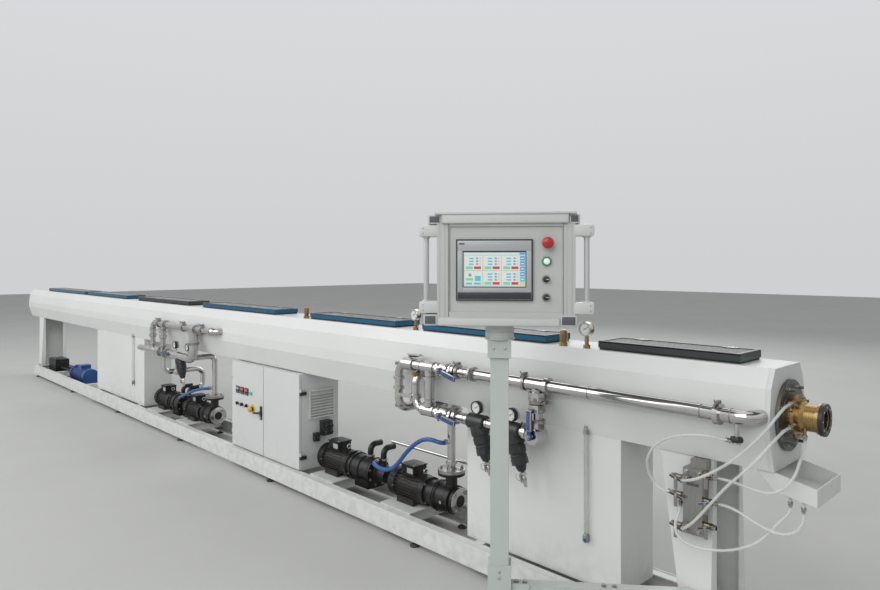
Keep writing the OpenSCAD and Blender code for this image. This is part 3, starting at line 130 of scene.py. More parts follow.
def surface(name, color, rough, metal=0.0, tone=0.08, tone_scale=3.0, rough_by=0.08, grain=0.1,
            grain_scale=300.0, stretch=(1, 1, 1), crevice_dirt_and_shade=0.0, low_grime=0.0, edge=0.0, coat=0.0,
            sides=None, **sockets):
    """A procedural surface: broad tone, fine grain, dirt and painted shade in the corners, and dirt near
    the floor.
    """
    mat = bpy.data.materials.new(name)
    mat.use_nodes = True
    nodes, links = mat.node_tree.nodes, mat.node_tree.links
    bsdf = nodes["Principled BSDF"]
    coord = nodes.new("ShaderNodeTexCoord")
    mapping = nodes.new("ShaderNodeMapping")
    mapping.inputs["Scale"].default_value = stretch
    links.new(coord.outputs["Object"], mapping.inputs["Vector"])

    def noise(scale, detail, source):
        n = nodes.new("ShaderNodeTexNoise")
        n.inputs["Scale"].default_value = scale
        n.inputs["Detail"].default_value = detail
        links.new(source, n.inputs["Vector"])
        return n.outputs["Fac"]

    def spread(value, lo, hi, out_lo, out_hi):
        m = nodes.new("ShaderNodeMapRange")
        for socket, number in zip(("From Min", "From Max", "To Min", "To Max"), (lo, hi, out_lo, out_hi)):
            m.inputs[socket].default_value = number
        links.new(value, m.inputs["Value"])
        return m.outputs["Result"]

    def times(a, b):
        m = nodes.new("ShaderNodeMath")
        m.operation = "MULTIPLY"
        links.new(a, m.inputs[0])
        links.new(b, m.inputs[1])
        return m.outputs[0]

    def blend(fac, a, b):
        m = nodes.new("ShaderNodeMix")
        m.data_type = "RGBA"
        links.new(fac, m.inputs["Factor"])
        for socket, value in ((m.inputs[6], a), (m.inputs[7], b)):
            if isinstance(value, tuple):
                socket.default_value = (*value, 1)
            else:
                links.new(value, socket)
        return m.outputs[2]

    broad = noise(tone_scale, 6, coord.outputs["Object"])
    fine = noise(grain_scale, 3, mapping.outputs["Vector"])
    tint = blend(spread(broad, 0.35, 0.7, 0, 1), color, tuple(c * (1 - tone) for c in color))
    if sides:
        split = nodes.new("ShaderNodeSeparateXYZ")
        links.new(coord.outputs["Normal"], split.inputs[0])
        flat = nodes.new("ShaderNodeMath")
        flat.operation = "ABSOLUTE"
        links.new(split.outputs["Z"], flat.inputs[0])
        tint = blend(spread(flat.outputs[0], 0.45, 0.55, 1, 0), tint, sides)
    if crevice_dirt_and_shade:
        # Painted shade: where ambient occlusion finds corners, creases and gaps between parts, the colour
        # is blended, broken up by noise, towards dark dust brown. This is part dirt and part shade.
        shade = nodes.new("ShaderNodeAmbientOcclusion")
        shade.samples = 6
        shade.inputs["Distance"].default_value = 0.05
        dirt_and_shade = times(spread(shade.outputs["AO"], 0.25, 0.85, crevice_dirt_and_shade, 0),
                     spread(noise(14, 5, coord.outputs["Object"]), 0.35, 0.65, 0.35, 1))
        tint = blend(dirt_and_shade, tint, DUST_AND_SHADE)
    if low_grime:
        height = nodes.new("ShaderNodeSeparateXYZ")
        links.new(coord.outputs["Object"], height.inputs[0])
        splash = times(spread(height.outputs["Z"], 0.02, 0.32, low_grime, 0),
                       spread(noise(22, 9, coord.outputs["Object"]), 0.38, 0.75, 0.0, 1))
        tint = blend(splash, tint, DUST_AND_SHADE)
    links.new(tint, bsdf.inputs["Base Color"])
    streak = noise(tone_scale * 4, 4, mapping.outputs["Vector"])
    links.new(spread(streak, 0.3, 0.7, max(rough - rough_by, 0.02), rough + rough_by),
              bsdf.inputs["Roughness"])
    bump = nodes.new("ShaderNodeBump")
    bump.inputs["Strength"].default_value = grain
    bump.inputs["Distance"].default_value = 0.0006
    links.new(fine, bump.inputs["Height"])
    if edge:
        soft = nodes.new("ShaderNodeBevel")
        soft.samples = 4
        soft.inputs["Radius"].default_value = edge
        links.new(soft.outputs["Normal"], bump.inputs["Normal"])
    links.new(bump.outputs["Normal"], bsdf.inputs["Normal"])
    bsdf.inputs["Metallic"].default_value = metal
    bsdf.inputs["Coat Weight"].default_value = coat
    for socket, value in sockets.items():
        bsdf.inputs[socket.replace("_", " ")].default_value = value
    MATERIALS[name] = mat
    return mat


PAINT = dict(tone=0.05, tone_scale=1.6, rough_by=0.07, grain=0.10, grain_scale=260, edge=0.003)
# The crevice values below set how much painted shade, together with dirt, darkens each material in its
# corners and creases.
surface("tank_paint", (0.735, 0.745, 0.725), 0.36, crevice_dirt_and_shade=0.35, low_grime=0.25, coat=0.15, **PAINT)
surface("frame_paint", (0.72, 0.73, 0.71), 0.42, crevice_dirt_and_shade=0.4, low_grime=0.3, **PAINT)
surface("cabinet_paint", (0.66, 0.675, 0.66), 0.5, crevice_dirt_and_shade=0.35, low_grime=0.2, **PAINT)
surface("end_plate_paint", (0.68, 0.69, 0.67), 0.34, crevice_dirt_and_shade=0.45, coat=0.1, **PAINT)
surface("stand_paint", (0.56, 0.60, 0.57), 0.42, crevice_dirt_and_shade=0.3, low_grime=0.45, **PAINT)
# A lighter copy of the panel paint: painted light, used for the up-facing visor, the top cap, the bottom
# bar and the grip ears.
surface("panel_paint_lit", (0.64, 0.65, 0.63), 0.4, crevice_dirt_and_shade=0.2, tone=0.03, grain=0.15, grain_scale=700,
        rough_by=0.05, edge=0.002)
surface("panel_paint", (0.555, 0.57, 0.55), 0.46, crevice_dirt_and_shade=0.3, tone=0.04, grain=0.22, grain_scale=700,
        rough_by=0.05, edge=0.002)
surface("corner_grey", (0.105, 0.115, 0.125), 0.5, crevice_dirt_and_shade=0.2, grain=0.2, grain_scale=900)
surface("inner_steel", (0.44, 0.45, 0.46), 0.32, 1.0, stretch=(0.05, 1, 1), crevice_dirt_and_shade=0.4)
surface("dark_steel", (0.17, 0.17, 0.165), 0.38, 0.85, tone=0.3, tone_scale=18, crevice_dirt_and_shade=0.5, grain=0.25,
        grain_scale=420, edge=0.001)
surface("brass", (0.44, 0.29, 0.125), 0.3, 1.0, tone=0.2, tone_scale=40, rough_by=0.08, crevice_dirt_and_shade=0.25,
        grain=0.05, grain_scale=900)
surface("seal_rubber", (0.02, 0.02, 0.02), 0.62, grain=0.5, grain_scale=1200, tone=0.3)
surface("foot_rubber", (0.025, 0.025, 0.025), 0.7, grain=0.5, grain_scale=900, low_grime=0.8)
surface("lid_glass", (0.012, 0.016, 0.018), 0.2, tone=0.5, tone_scale=7, rough_by=0.1, grain=0.02,
        grain_scale=60, sides=(0.022, 0.115, 0.21), crevice_dirt_and_shade=0.15, Specular_IOR_Level=0.2)
surface("lid_dark", (0.010, 0.012, 0.013), 0.2, tone=0.5, tone_scale=7, rough_by=0.1, grain=0.02,
        grain_scale=60, sides=(0.05, 0.06, 0.06), crevice_dirt_and_shade=0.15, Specular_IOR_Level=0.2)
surface("pipe_steel", (0.60, 0.59, 0.575), 0.12, 1.0, tone=0.2, tone_scale=9, rough_by=0.06,
        stretch=(0.04, 1, 1), grain=0.03, grain_scale=700, crevice_dirt_and_shade=0.5)
surface("cast_steel", (0.42, 0.41, 0.39), 0.36, 1.0, tone=0.35, tone_scale=30, rough_by=0.1, grain=0.3,
        grain_scale=800, crevice_dirt_and_shade=0.45)
surface("valve_steel", (0.36, 0.355, 0.34), 0.3, 1.0, tone=0.15, tone_scale=12, rough_by=0.08, grain=0.06,
        grain_scale=900, crevice_dirt_and_shade=0.3, stretch=(1, 1, 0.05))
surface("gauge_steel", (0.58, 0.58, 0.57), 0.2, 1.0, grain_scale=900, crevice_dirt_and_shade=0.3)
surface("grip_steel", (0.60, 0.61, 0.60), 0.34, 0.35, stretch=(1, 1, 0.04), grain=0.08, grain_scale=900,
        crevice_dirt_and_shade=0.2)
surface("zinc", (0.52, 0.52, 0.50), 0.3, 1.0, tone=0.25, tone_scale=60, rough_by=0.1, grain=0.08,
        grain_scale=1500, crevice_dirt_and_shade=0.35)
surface("weld", (0.34, 0.31, 0.28), 0.42, 1.0, tone=0.5, tone_scale=90, grain=0.9, grain_scale=500)
surface("black_plastic", (0.022, 0.023, 0.025), 0.42, grain=0.3, grain_scale=1300, tone=0.3, crevice_dirt_and_shade=0.15,
        edge=0.0008)
surface("filter_plastic", (0.028, 0.029, 0.031), 0.34, grain=0.25, grain_scale=900, tone=0.4, crevice_dirt_and_shade=0.35,
        edge=0.001)
surface("motor_paint", (0.0095, 0.010, 0.011), 0.4, tone=0.4, tone_scale=12, grain=0.4, grain_scale=520,
        crevice_dirt_and_shade=0.3, edge=0.0015, Specular_IOR_Level=0.35)
surface("pump_iron", (0.0085, 0.009, 0.0095), 0.36, tone=0.4, tone_scale=14, grain=0.6, grain_scale=420,
        crevice_dirt_and_shade=0.3, edge=0.002, Specular_IOR_Level=0.4)
surface("blue_paint", (0.02, 0.09, 0.30), 0.36, tone=0.35, tone_scale=9, grain=0.5, grain_scale=480,
        crevice_dirt_and_shade=0.5, edge=0.0015)
surface("lever_blue", (0.018, 0.070, 0.27), 0.33, grain=0.3, grain_scale=600, tone=0.3, crevice_dirt_and_shade=0.3,
        coat=0.2, edge=0.0008)
surface("green_grip", (0.01, 0.15, 0.07), 0.42, grain=0.3, grain_scale=600, tone=0.3)
surface("hose_clear", (0.78, 0.80, 0.76), 0.2, tone=0.08, tone_scale=14, rough_by=0.06, grain=0.03,
        grain_scale=90, Alpha=0.58)
surface("tube_clear", (0.86, 0.90, 0.88), 0.10, tone=0.08, tone_scale=20, rough_by=0.05, grain=0.04,
        grain_scale=160, Transmission_Weight=0.8, IOR=1.4)
surface("hose_blue", (0.020, 0.105, 0.36), 0.3, tone=0.2, tone_scale=30, grain=0.1, grain_scale=500,
        crevice_dirt_and_shade=0.2, coat=0.2)
surface("screen_glass", (0.045, 0.05, 0.055), 0.24, tone=0.2, grain=0.12, grain_scale=1200, crevice_dirt_and_shade=0.1,
        edge=0.0008)
surface("bezel_silver", (0.46, 0.475, 0.475), 0.36, 0.15, tone=0.04, grain=0.05, grain_scale=1500)
surface("button_red", (0.52, 0.02, 0.022), 0.3, tone=0.12, tone_scale=60, grain=0.1, grain_scale=900,
        coat=0.3, edge=0.001)
surface("ring_yellow", (0.70, 0.44, 0.02), 0.4, tone=0.1, tone_scale=60, grain=0.15)
surface("ring_green", (0.01, 0.28, 0.09), 0.3, tone=0.1, tone_scale=60, coat=0.3)
surface("dial_white", (0.74, 0.74, 0.71), 0.35, tone=0.05, tone_scale=80, grain=0.05, coat=0.6)
surface("print_black", (0.02, 0.02, 0.02), 0.5, tone=0.1)
surface("lens_white", (0.78, 0.82, 0.80), 0.25, tone=0.04, coat=0.4, Emission_Color=(0.85, 1, 0.93, 1),
        Emission_Strength=0.25)
surface("lens_green", (0.02, 0.42, 0.30), 0.25, tone=0.1, coat=0.4, Emission_Color=(0.05, 0.8, 0.6, 1),
        Emission_Strength=0.12)
# The lit cells of the touch screen and of the meters: colour, as it shows.
CELLS = (("white", (0.74, 0.76, 0.74)), ("pale", (0.50, 0.66, 0.72)), ("yellow", (0.74, 0.66, 0.22)),
         ("cyan", (0.10, 0.55, 0.62)), ("blue", (0.10, 0.38, 0.68)), ("red", (0.62, 0.06, 0.05)),
         ("mint", (0.22, 0.62, 0.46)), ("grey", (0.30, 0.33, 0.36)))
for cell, tint in CELLS:
    surface("cell_" + cell, tuple(c * 0.55 for c in tint), 0.3, tone=0.06, tone_scale=120, grain=0.02,
            Emission_Color=(*tint, 1), Emission_Strength=0.5)


BLACK, CAST, FILTER = "black_plastic", "cast_steel", "filter_plastic"


class Solid:
    """Gathers simple forms, given in mm, into one mesh that becomes a piece."""

    def __init__(self, place=point):
        self.bm = bmesh.new()
        self.place = place
        self.names = []

    def loft(self, loops, mat, bevel=0.0, closed=False):
        """Skins loops of placed points; a loop of one point is a tip."""
        if mat not in self.names:
            self.names.append(mat)
        index = self.names.index(mat)
        rings = [[self.bm.verts.new(p) for p in loop] for loop in loops]
        faces = []
        pairs = list(zip(rings, rings[1:] + ([rings[0]] if closed else [])))
        for a, b in pairs[:len(rings) if closed else len(rings) - 1]:
            size = max(len(a), len(b))
            for i in range(size):
                j = (i + 1) % size
                corner = [a[i % len(a)], a[j % len(a)], b[j % len(b)], b[i % len(b)]]
                faces.append(self.bm.faces.new(list(dict.fromkeys(corner))))
        if not closed:
            faces += [self.bm.faces.new(r) for r in (rings[0][::-1], rings[-1]) if len(r) > 2]
        for f in faces:
            f.material_index = index
        if bevel:
            edges = list(dict.fromkeys(e for f in faces for e in f.edges))
            bmesh.ops.bevel(self.bm, geom=edges, offset=bevel * MM, segments=2, profile=0.6, affect="EDGES",
                            clamp_overlap=True)

    def box(self, lo, hi, mat, bevel=0.8):
        (x0, y0, z0), (x1, y1, z1) = lo, hi
        flat = ((x0, y0), (x1, y0), (x1, y1), (x0, y1))
        self.loft([[self.place(x, y, z) for x, y in flat] for z in (z0, z1)], mat, bevel)

    def slab(self, at, u, v, size, mat, bevel=0.6):
        """A block about a centre, with its length along u and its width along v."""
        u, v = Vector(u).normalized(), Vector(v).normalized()
        w = u.cross(v)
        a, b, c = (s / 2 for s in size)
        loops = []
        for k in (-c, c):
            corners = ((-a, -b), (a, -b), (a, b), (-a, b))
            loops.append([self.place(*(Vector(at) + u * p + v * q + w * k)) for p, q in corners])
        self.loft(loops, mat, bevel)

    def turn(self, at, way, profile, mat, seg=28, closed=False, lobes=None):
        """A turned form: profile is (distance along the axis, radius); lobes is (count, depth)."""
        way = Vector(way).normalized()
        u, v = square_to(way)
        loops = []
        for d, r in profile:
            middle = Vector(at) + way * d
            if r < 1e-6:
                loops.append([self.place(*middle)])
                continue
            ring = []
            for i in range(seg):
                t = math.tau * (i + 0.5) / seg
                k = r * (1 - lobes[1] * (0.5 + 0.5 * math.cos(lobes[0] * t))) if lobes else r
                ring.append(self.place(*(middle + u * k * math.cos(t) + v * k * math.sin(t))))
            loops.append(ring)
        self.loft(loops, mat, closed=closed)

    def rod(self, at, way, length, r, mat, seg=20):
        edge = min(1.0, r * 0.2, length * 0.3)
        self.turn(at, way, [(0, r - edge), (edge, r), (length - edge, r), (length, r - edge)], mat, seg)

    def band(self, at, way, r, width, high, mat, seg=36):
        """A ring on a round part, centred on its point."""
        w = width / 2
        self.turn(at, way, [(-w, r - 0.5), (-w, r + high * 0.6), (-w * 0.6, r + high), (w * 0.6, r + high),
                            (w, r + high * 0.6), (w, r - 0.5)], mat, seg, closed=True)

    def sweep(self, route, r, mat, seg=10):
        """A bar bent along a route, with flat ends."""
        route = [Vector(p) for p in route]
        u = None
        loops = []
        for i, p in enumerate(route):
            way = (route[min(i + 1, len(route) - 1)] - route[max(i - 1, 0)]).normalized()
            u = way.orthogonal().normalized() if u is None else (u - way * u.dot(way)).normalized()
            v = way.cross(u)
            ring = [math.tau * k / seg for k in range(seg)]
            loops.append([self.place(*(p + u * r * math.cos(t) + v * r * math.sin(t))) for t in ring])
        self.loft(loops, mat)

    def bolt(self, at, way, af=13, stud=0.0, mat="zinc"):
        """A hexagon on its washer, with the end of its stud if it is a nut."""
        self.turn(at, way, [(0, af * 0.72), (af * 0.14, af * 0.72)], mat, 20)
        at = along(at, Vector(way).normalized(), af * 0.14)
        self.turn(at, way, [(0, af * 0.577), (af * 0.5, af * 0.577), (af * 0.6, af * 0.48)], mat, 6)
        if stud:
            self.rod(along(at, Vector(way).normalized(), af * 0.5), way, stud, af * 0.3, mat, 12)

    def ring_of_bolts(self, at, way, r, count, af=13, phase=0.5, stud=0.0):
        way = Vector(way).normalized()
        u, v = square_to(way)
        for i in range(count):
            t = math.tau * (i + phase) / count
            self.bolt(Vector(at) + u * r * math.cos(t) + v * r * math.sin(t), way, af, stud)

    def screw(self, at, way, r=3.5, mat="zinc"):
        """A domed screw head."""
        self.turn(at, way, [(0, r), (r * 0.4, r * 0.9), (r * 0.62, r * 0.45), (r * 0.45, 0)], mat, 16)

    def piece(self, name, body, slot, *replaced):
        bmesh.ops.recalc_face_normals(self.bm, faces=self.bm.faces)
        mesh = bpy.data.meshes.new(name)
        self.bm.to_mesh(mesh)
        self.bm.free()
        for mat in self.names:
            mesh.materials.append(MATERIALS[mat])
        mesh.shade_smooth()
        mesh.set_sharp_from_angle(angle=math.radians(34))
        obj = bpy.data.objects.new(name, mesh)
        bpy.context.scene.collection.objects.link(obj)
        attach(obj, body)
        if replaced:
            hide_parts(*replaced)
        return obj


# ---- hoses

CLEAR_ROUTES = (
    ((-106, -210, 830), (-130, -210, 830), (-170, -232, 838), (-235, -245, 832), (-305, -240, 808),
     (-365, -225, 765), (-402, -205, 710), (-408, -185, 655), (-392, -170, 616), (-362, -165, 598),
     (-330, -165, 598)),
    ((-270, -189, 665), (-270, -212, 665), (-252, -232, 672), (-205, -238, 690), (-150, -226, 725),
     (-95, -212, 770), (-45, -198, 825), (-5, -186, 875), (20, -165, 918), (32, -132, 944),
     (34, -100, 950), (34, -76, 950)),
    ((-270, -189, 500), (-270, -212, 500), (-252, -232, 510), (-215, -236, 545), (-165, -226, 612),
     (-115, -212, 680), (-65, -205, 735), (-20, -196, 790), (12, -176, 838), (30, -142, 868),
     (34, -110, 875), (34, -76, 875)),
    ((-172, -165, 684), (-125, -165, 684), (-60, -165, 676), (-15, -163, 672), (20, -160, 682),
     (50, -150, 708), (68, -132, 745), (70, -102, 776), (66, -60, 790), (62, -34, 808), (62, -30, 828),
     (62, -30, 845)),
    ((-172, -165, 597), (-130, -165, 597), (-90, -167, 588), (-40, -170, 570), (10, -174, 558),
     (50, -168, 558), (75, -148, 570), (83, -118, 588), (80, -97, 606), (80, -97, 630)),
    ((-298, -165, 574), (-298, -165, 552), (-300, -178, 532), (-300, -198, 508), (-290, -212, 480),
     (-262, -212, 456), (-215, -200, 446), (-150, -186, 452), (-95, -172, 470), (-45, -160, 500),
     (-8, -148, 540), (18, -130, 578), (36, -106, 602), (40, -97, 620), (40, -97, 640)),
)
PUMP_ROUTES = (
    ((-1600, -38, 510), (-1600, -58, 510), (-1616, -74, 513), (-1650, -82, 518), (-1695, -84, 514),
     (-1740, -88, 498), (-1790, -94, 464), (-1835, -102, 420), (-1872, -108, 375), (-1910, -111, 338),
     (-1960, -113, 310), (-2020, -110, 298), (-2080, -100, 298), (-2122, -85, 300), (-2141, -66, 300),
     (-2141, -45, 300)),
    ((-4706, -45, 300), (-4706, -66, 300), (-4686, -92, 302), (-4630, -112, 312), (-4560, -124, 332),
     (-4490, -128, 356), (-4420, -126, 380), (-4350, -116, 404), (-4285, -98, 422), (-4248, -80, 430),
     (-4235, -60, 430), (-4235, -38, 430)),
)


def smooth(route, steps=8):
    """Points on one smooth curve through a route's points."""
    p = [Vector(route[0]) * 2 - Vector(route[1])] + [Vector(q) for q in route]
    p.append(Vector(route[-1]) * 2 - Vector(route[-2]))
    out = []
    for i in range(1, len(p) - 2):
        for k in range(steps):
            t = k / steps
            out.append(0.5 * (2 * p[i] + (p[i + 1] - p[i - 1]) * t
                              + (2 * p[i - 1] - 5 * p[i] + 4 * p[i + 1] - p[i + 2]) * t ** 2
                              + (3 * p[i] - p[i - 1] - 3 * p[i + 1] + p[i + 2]) * t ** 3))
    return out + [p[-2]]


def hose(name, route, r, mat, node):
    places = [point(*p) for p in smooth(route)]
    data = bpy.data.curves.new(name, "CURVE")
    data.dimensions = "3D"
    data.bevel_depth = r * MM
    data.bevel_resolution = 5
    data.use_fill_caps = True
    spline = data.splines.new("POLY")
    spline.points.add(len(places) - 1)
    for spot, place in zip(spline.points, places):
        spot.co = (*place, 1)
    spline.use_smooth = True
    data.materials.append(MATERIALS[mat])
    obj = bpy.data.objects.new(name, data)
    bpy.context.scene.collection.objects.link(obj)
    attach(obj, "tank")
    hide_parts(node)


def hoses():
    for i, route in enumerate(CLEAR_ROUTES):
        hose("clear_hose_%d" % (i + 1), route, CLEAR_R, "hose_clear", "clear_hoses")
    for i, route in enumerate(PUMP_ROUTES):
        hose("pump_hose_%d" % (i + 1), route, PUMP_R, "hose_blue", "pump_hoses")
    s = Solid()
    for route, r in [(q, CLEAR_R) for q in CLEAR_ROUTES] + [(q, PUMP_R) for q in PUMP_ROUTES]:
        for a, b in ((route[0], route[1]), (route[-1], route[-2])):
            way = (Vector(b) - Vector(a)).normalized()
            s.turn(along(a, way, -2), way, [(0, r + 3.5), (7, r + 3.5), (8, r + 3)], "zinc", 6)
            s.band(along(a, way, 11), way, r, 7, 1.6, "zinc", 24)
            out = UP if abs(way.z) < 0.7 else SIDE
            s.slab(along(along(a, way, 11), out, r + 3), way, out, (7, 5, 5), "zinc", 0.4)
    s.piece("hose_clips", "tank", "valve_steel")


# ---- parts that repeat

def gauge(name, at, rim="gauge_steel"):
    """A pressure gauge's dial, marks, needle and bezel, over the plain case of the CAD."""
    s = Solid()
    way, r = Vector(SIDE), GAUGE_R
    u, v = way.cross(Vector(UP)).normalized(), Vector(UP)
    s.turn(at, way, [(-16, r - 1), (-16, r + 1), (2, r + 1.2), (4, r - 0.6), (4, r - 3), (0.8, r - 4)],
           rim, 40, closed=True)
    s.turn(at, way, [(-1, 0), (-1, r - 2), (0.8, r - 2), (0.8, 0)], "dial_white", 40)
    face = Vector(at) + way * 1.0
    for i in range(31):
        t = math.radians(-45 + 270 * i / 30)
        ray = -u * math.cos(t) + v * math.sin(t)
        inset, length, width = (8, 5, 1.3) if i % 5 == 0 else (6.5, 2.4, 0.6)
        s.slab(face + ray * (r - inset), ray, way.cross(ray), (length, width, 0.5), "print_black", 0)
    t = math.radians(28)
    ray = -u * math.cos(t) + v * math.sin(t)
    s.slab(face + ray * 6 + way * 0.8, ray, way.cross(ray), (r * 0.95, 1.6, 0.7), "print_black", 0)
    s.turn(face, way, [(0, 3.4), (1.8, 3.0), (2.2, 0)], "gauge_steel", 16)
    s.piece(name, "tank", "gauge_steel")


def clamp(s, n, z, r=24.2, way=AHEAD, out=UP):
    """A pipe clamp: ring, two lugs, swing bolt and wing nut."""
    at = (n, LINE, z)
    s.turn(at, way, [(-8, r + 0.2), (-8, r + 4), (-5, r + 8.5), (5, r + 8.5), (8, r + 4), (8, r + 0.2)],
           CAST, 36, closed=True)
    out = Vector(out).normalized()
    across = Vector(way).cross(out)
    for k in (-1, 1):
        s.slab(Vector(at) + out * (r + 13) + across * 5 * k, out, across, (16, 4.5, 13), CAST, 1)
    s.rod(Vector(at) + out * (r + 14) - across * 17, across, 46, 3.2, "zinc", 12)
    hub = Vector(at) + out * (r + 14) + across * 14
    s.turn(hub, across, [(0, 7), (9, 6), (11, 4.5)], CAST, 16)
    for k in (-1, 1):
        wing = (out * k + across * 0.9).normalized()
        s.slab(hub + across * 9 + wing * 9, wing, across, (19, 8, 3.2), CAST, 1.2)


def star_knob(s, at, way, r):
    s.rod(at, way, 12, 6, "zinc", 14)
    s.turn(along(at, Vector(way), 10), way,
           [(0, r * 0.5), (2, r * 0.9), (6, r), (14, r), (18, r * 0.85), (20, 0)],
           BLACK, 60, lobes=(6, 0.22))


def ball_valve(s, n, z):
    """Bolts, end pieces and stem of a three-piece ball valve, over the plain body."""
    way = Vector(AHEAD)
    other = Vector(SIDE)
    third = way.cross(other)
    for p in (-1, 1):
        for q in (-1, 1):
            side = Vector((n, LINE, z)) + other * 24 * p + third * 24 * q - way * 34
            s.rod(side, way, 68, 4, "zinc", 12)
            s.bolt(side + way * 58, way, 12, 4)
            s.bolt(side + way * 10, -way, 12, 4)
    for k in (-26, 26):
        s.slab(Vector((n, LINE, z)) + way * k, other, third, (60, 60, 8), CAST, 5)
        s.turn(Vector((n, LINE, z)) + way * (k * 1.5 - 7), way, [(0, 30), (1, 31.5), (13, 31.5), (14, 30)],
               CAST, 8)
    s.turn((n, LINE - 18, z), SIDE, [(0, 16), (14, 15), (20, 11), (28, 9.5)], CAST, 24)


def weld_ring(s, n, z, way=AHEAD):
    s.band((n, LINE, z), way, PIPE_R, 3.4, 1.0, "weld", 40)


# ---- the machine's regions

DARK_LIDS = ("lid_1", "lid_5")
# Middle and length of each lid, counted from the die end.
LIDS = ((-400, 560), (-1330, 780), (-2340, 810), (-3710, 1080), (-5050, 1080), (-6465, 1150), (-7840, 1400))


def lids():
    for i, (mid, length) in enumerate(LIDS):
        s = Solid()
        a, b = mid - length / 2, mid + length / 2
        for y0, y1, x0, x1 in ((-90, -78, a + 2, b - 2), (73, 85, a + 2, b - 2), (-78, 73, a + 2, a + 14),
                               (-78, 73, b - 14, b - 2)):
            s.box((x0, y0, 1097.6), (x1, y1, 1100.2), "dark_steel", 0.6)
        count = max(2, round(length / 180))
        for k in range(count):
            n = a + 12 + (length - 24) * k / (count - 1)
            for y in (-84, 79):
                s.screw((n, y, 1100.1), UP, 3.4)
        for k in (-1, 1):
            n = mid + k * length * 0.32
            s.box((n - 26, 60, LID_TOP), (n + 26, 86, 1101), "zinc", 0.6)
            for q in (-16, 16):
                s.screw((n + q, 69, 1101), UP, 4)
        s.piece("lid_%d_trim" % (i + 1), "lid_%d" % (i + 1), "valve_steel")


def deck():
    for i, n in enumerate(DECK_GAUGES):
        gauge("deck_gauge_%d" % (i + 1), (n, -104, 1143))
    s = Solid()
    for n in DECK_GAUGES:
        s.turn((n, -90, 1066), UP, [(0, 12), (10, 12)], "brass", 6)
        s.turn((n, -90, 1090), UP, [(0, 10), (9, 10)], "brass", 6)
    for n in (-850, -2790):
        s.turn((n, -88, 1066), UP, [(0, 19), (12, 19)], "brass", 6)
        for z in range(1082, 1122, 5):
            s.band((n, -88, z), UP, 15.5, 2.4, 1.2, "brass", 30)
        s.turn((n, -88, 1124), UP, [(0, 13), (6, 13), (9, 6)], "brass", 6)
    for k in range(19):
        n = -150 - k * 495
        for y in (-105, 105):
            if all(abs(n - m) > l / 2 + 20 for m, l in LIDS):
                s.screw((n, y, 1065), UP, 4.5)
    s.piece("deck_details", "tank", "brass")


def die_end():
    s = Solid()
    s.ring_of_bolts((12, 0, AXIS_Z), AHEAD, 98, 8, 12, stud=10)
    s.ring_of_bolts((39, 0, AXIS_Z), AHEAD, 63, 6, 8, 0.25)
    s.turn((12, 0, AXIS_Z), AHEAD, [(0, 84), (1.5, 84), (1.5, 80), (0, 80)], "weld", 48, closed=True)
    for d in (64, 70, 76, 82, 88):
        s.band((d, 0, AXIS_Z), AHEAD, 43.8, 2.2, 1.0, "brass", 56)
    s.turn((104, 0, AXIS_Z), AHEAD, [(0, 51), (1, 53.5), (14, 53.5), (15, 52), (15, 33), (0, 33)], BLACK,
           56, closed=True)
    for i in range(8):
        t = math.tau * i / 8
        s.screw((118.6, 41 * math.cos(t), AXIS_Z + 41 * math.sin(t)), AHEAD, 3)
    for y, z in ((-76, 950), (-76, 875)):
        s.turn((34, y + 8, z), SIDE, [(0, 8), (6, 8)], "brass", 6)
    s.piece("die_end_details", "tank", "brass")
    s = Solid()
    for n in (-245, -258, -8722, -8705):
        for y in (-150, 150):
            s.bolt((n, y, 138), UP, 17, 7)
    s.piece("leg_bolts", "tank", "frame_paint")


def valve_block():
    s = Solid()
    for z in (486, 686):
        for n in (-274, -228):
            s.bolt((n, -173, z), SIDE, 11)
    for start, way, heights in ((-285, ASTERN, (658, 598, 490)), (-217, AHEAD, (684, 597, 514))):
        for z in heights:
            grip = "lever_blue" if z == 597 else BLACK
            base = (start, -165, z)
            for d, r, w, mat in ((0, 13, 8, "brass"), (12, 11, 9, "brass"), (25, 12.5, 10, "brass"),
                                 (38, 10.5, 8, "zinc")):
                s.turn(along(base, way, d), way, [(0, r - 0.8), (0.8, r), (w - 0.8, r), (w, r - 0.8)], mat,
                       6)
            s.rod(base, way, 46, 8.6, "brass", 24)
            hub = along(base, way, 18)
            s.rod((hub[0], -173, z), SIDE, 18, 4.5, "zinc", 14)
            s.bolt((hub[0], -190.5, z), SIDE, 7)
            tilt = Vector((way[0], 0, 0.32)).normalized()
            for k in (-1, 1):
                s.slab(Vector((hub[0], -188.5, z)) + tilt * 15 * k, tilt, SIDE, (22, 3.6, 9), grip, 1.5)
    s.box((-272, -176, 640), (-230, -173, 652), "dark_steel", 0.6)
    s.piece("valve_block_details", "tank", "valve_steel")


